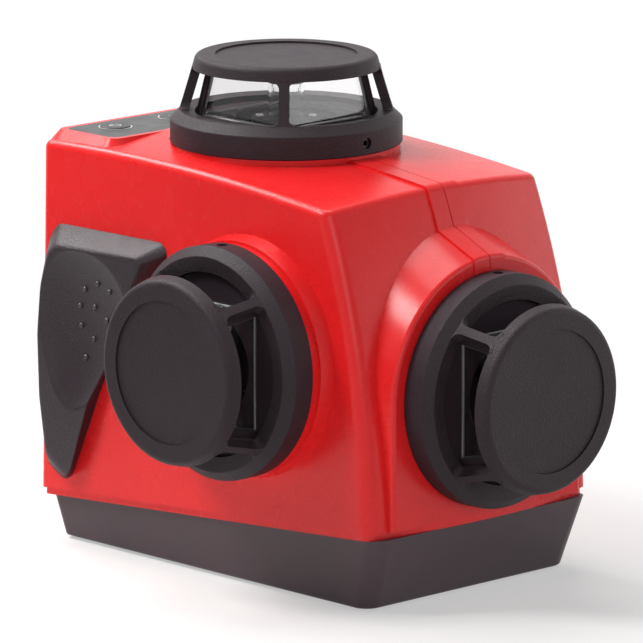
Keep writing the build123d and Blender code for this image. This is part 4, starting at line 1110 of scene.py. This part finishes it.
@dataclass
class BatteryBay(SubAssembly):
    """Battery holder with cells, springs and contacts, its hinged door, and the main board on its wall."""

    nodes: tuple[str, ...] = (
        "battery_holder", "battery_cells", "battery_contacts", "battery_door", "door_pin", "main_board",
    )
    rib_count: int = 5
    rib_pitch: float = 2.4 * MM
    rib_half: float = 9.0 * MM
    rib_width: float = 1.1 * MM
    rib_height: float = 0.5 * MM
    rib_drop: float = 5.0 * MM
    rib_rings: int = 25
    rib_points: int = 13
    rib_square: int = 6
    rib_end: float = 0.02

    def add(self) -> None:
        """Adds thumb ribs near the upper edge of the door: half round bars that shrink towards both ends."""
        _, high = (np.array(corner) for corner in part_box("battery_door"))
        along = np.sin(np.linspace(-0.5, 0.5, self.rib_rings) * math.pi)
        taper = np.sqrt(np.clip(1.0 - np.abs(along) ** self.rib_square, self.rib_end, 1.0))
        across = np.linspace(0.0, math.pi, self.rib_points)
        section = np.stack([np.cos(across) * self.rib_width / 2, np.sin(across) * self.rib_height], axis=1)
        drops = self.rib_drop + self.rib_pitch * np.arange(self.rib_count)
        shape = (self.rib_count, len(along), len(section))
        x = np.broadcast_to((along * self.rib_half)[None, :, None], shape)
        y = np.broadcast_to(high[1] + taper[:, None] * section[:, 1], shape)
        z = high[2] - drops[:, None, None] + taper[:, None] * section[:, 0]
        seat(skin("door_ribs", np.stack([x, y, z], axis=-1)), "battery_door",
             FINISHES[Slot.RED_SHELL])


@dataclass(frozen=True)
class Lamp:
    """Soft rectangular lamp: its centre, its width and height, and its power in watts."""

    name: str
    place: Point
    size: Range
    power: float


@dataclass
class Studio:
    """Pale floor, plain soft lamps, a black card and the camera at the photograph's angle."""

    target: Point = (0.0, -0.013745, 0.06388)
    azimuth: float = -43.82
    elevation: float = 11.89
    distance: float = 1.911
    lens: float = 395.25
    sensor: float = 36.0
    clip: Range = (0.05, 20.0)
    sky_light: float = 0.18
    floor_z: float = -0.8 * MM
    floor_half: float = 3.0
    floor_fade: Range = (0.12, 0.36)
    floor_glow: float = 0.45
    floor_colour: Colour = (0.87, 0.855, 0.84)
    card_middle: Range = (-0.235, 0.19)
    card_half: float = 0.08
    card_height: float = 0.16
    card_colour: Colour = (0.02, 0.02, 0.02)
    card_roughness: float = 0.9
    lamps: tuple[Lamp, ...] = (
        Lamp("key", (-0.6, 0.42, 1.0), (0.35, 0.35), 9.5),
        Lamp("back", (-0.1, 0.85, 0.95), (0.7, 0.3), 8.5),
        Lamp("overhead", (0.12, 0.25, 1.25), (0.6, 0.6), 6.0),
        Lamp("front_right", (1.05, -1.0, 0.3), (1.5, 0.58), 4.0),
        Lamp("front_left", (-0.82, -1.14, 0.58), (0.6, 0.6), 2.5),
    )

    def camera(self) -> None:
        """Places a long lens that looks at the target from its azimuth and elevation."""
        turn, rise = math.radians(self.azimuth), math.radians(self.elevation)
        back = Vector((math.sin(turn) * math.cos(rise), -math.cos(turn) * math.cos(rise), math.sin(rise)))
        data = bpy.data.cameras.new("camera")
        data.sensor_width = self.sensor
        data.lens = self.lens
        data.clip_start, data.clip_end = self.clip
        camera = bpy.data.objects.new("camera", data)
        camera.location = Vector(self.target) + back * self.distance
        camera.rotation_euler = (-back).to_track_quat("-Z", "Y").to_euler()
        bpy.context.scene.collection.objects.link(camera)
        bpy.context.scene.camera = camera

    def light(self, lamp: Lamp) -> None:
        """Adds a lamp that looks at the target.

        Args:
            lamp: its name, place, size and power.
        """
        data = bpy.data.lights.new(lamp.name, "AREA")
        data.shape = "RECTANGLE"
        data.size, data.size_y = lamp.size
        data.energy = lamp.power
        light = bpy.data.objects.new(lamp.name, data)
        light.location = lamp.place
        light.rotation_euler = (Vector(self.target) - Vector(lamp.place)).to_track_quat("-Z", "Y").to_euler()
        bpy.context.scene.collection.objects.link(light)

    def sheet(self, name: str, corners: list[Point], material: bpy.types.Material) -> bpy.types.Object:
        """Adds one flat face of the studio.

        Args:
            name: name of the object.
            corners: its four corners in turn.
            material: its look.

        Returns:
            The object, linked to the scene.
        """
        mesh = bpy.data.meshes.new(name)
        mesh.from_pydata(corners, [], [(0, 1, 2, 3)])
        mesh.materials.append(material)
        sheet = bpy.data.objects.new(name, mesh)
        bpy.context.scene.collection.objects.link(sheet)
        return sheet

    def floor(self) -> None:
        """Lays a pale floor that keeps shadows near the object and turns plain white far from it."""
        material = bpy.data.materials.new("finish_floor")
        graph = Graph(material)
        radius = graph.add("ShaderNodeVectorMath", {"operation": "LENGTH"})
        graph.feed(radius.inputs[0], graph.place)
        fade = graph.span(radius.outputs["Value"], *self.floor_fade, self.floor_glow, 1.0)
        matt = graph.add("ShaderNodeBsdfDiffuse", None, Color=self.floor_colour)
        white = graph.add("ShaderNodeEmission", None, Color=WHITE, Strength=1.0)
        blend = graph.add("ShaderNodeMixShader")
        share = graph.maths("MULTIPLY", fade, graph.seen())
        for target, value in zip(blend.inputs, (share, matt.outputs[0], white.outputs[0])):
            graph.feed(target, value)
        graph.end(blend)
        half, low = self.floor_half, self.floor_z
        floor = self.sheet("floor", [(-half, -half, low), (half, -half, low), (half, half, low),
                                     (-half, half, low)], material)

    def card(self) -> None:
        """Stands a black card at the rear left, which only mirrored light shows, so that glass looks deep."""
        material = bpy.data.materials.new("finish_card")
        Graph(material).surface(Base_Color=self.card_colour, Roughness=self.card_roughness)
        x, y = self.card_middle
        half, low, high = self.card_half, self.floor_z, self.card_height
        card = self.sheet("card", [(x - half, y - half, low), (x + half, y + half, low),
                                   (x + half, y + half, high), (x - half, y - half, high)], material)
        for kind in ("camera", "diffuse", "transmission", "volume_scatter", "shadow"):
            setattr(card, f"visible_{kind}", False)

    def sky(self) -> None:
        """World that is white where it is seen and an even soft light elsewhere."""
        world = bpy.data.worlds.new("studio")
        graph = Graph(world)
        strength = graph.span(graph.seen(), 0.0, 1.0, self.sky_light, 1.0)
        graph.end(graph.add("ShaderNodeBackground", None, Color=WHITE, Strength=strength),
                  "ShaderNodeOutputWorld")
        bpy.context.scene.world = world

    def build(self) -> None:
        """Sets the colour transform and builds camera, world, floor, card and lamps."""
        bpy.context.scene.view_settings.view_transform = "Standard"
        self.camera()
        self.sky()
        self.floor()
        self.card()
        for lamp in self.lamps:
            self.light(lamp)
        LOG.info("studio is set")


def main() -> None:
    """Builds the studio, then every sub-assembly of the level."""
    logging.basicConfig(level=logging.INFO, format="%(message)s")
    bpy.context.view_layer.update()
    Studio().build()
    groups = [
        Housing(), *(Turret.at(place) for place in Place), *(Grip.on(side) for side in Side), Keypad(),
        Pendulum(), Lock(), BatteryBay(),
    ]
    for group in groups:
        group.build()
    bare = set(SLOTS) - {name for group in groups for name in group.nodes}
    if bare:
        raise ValueError(f"nodes without a finish: {sorted(bare)}")


if __name__ == "__main__":
    main()
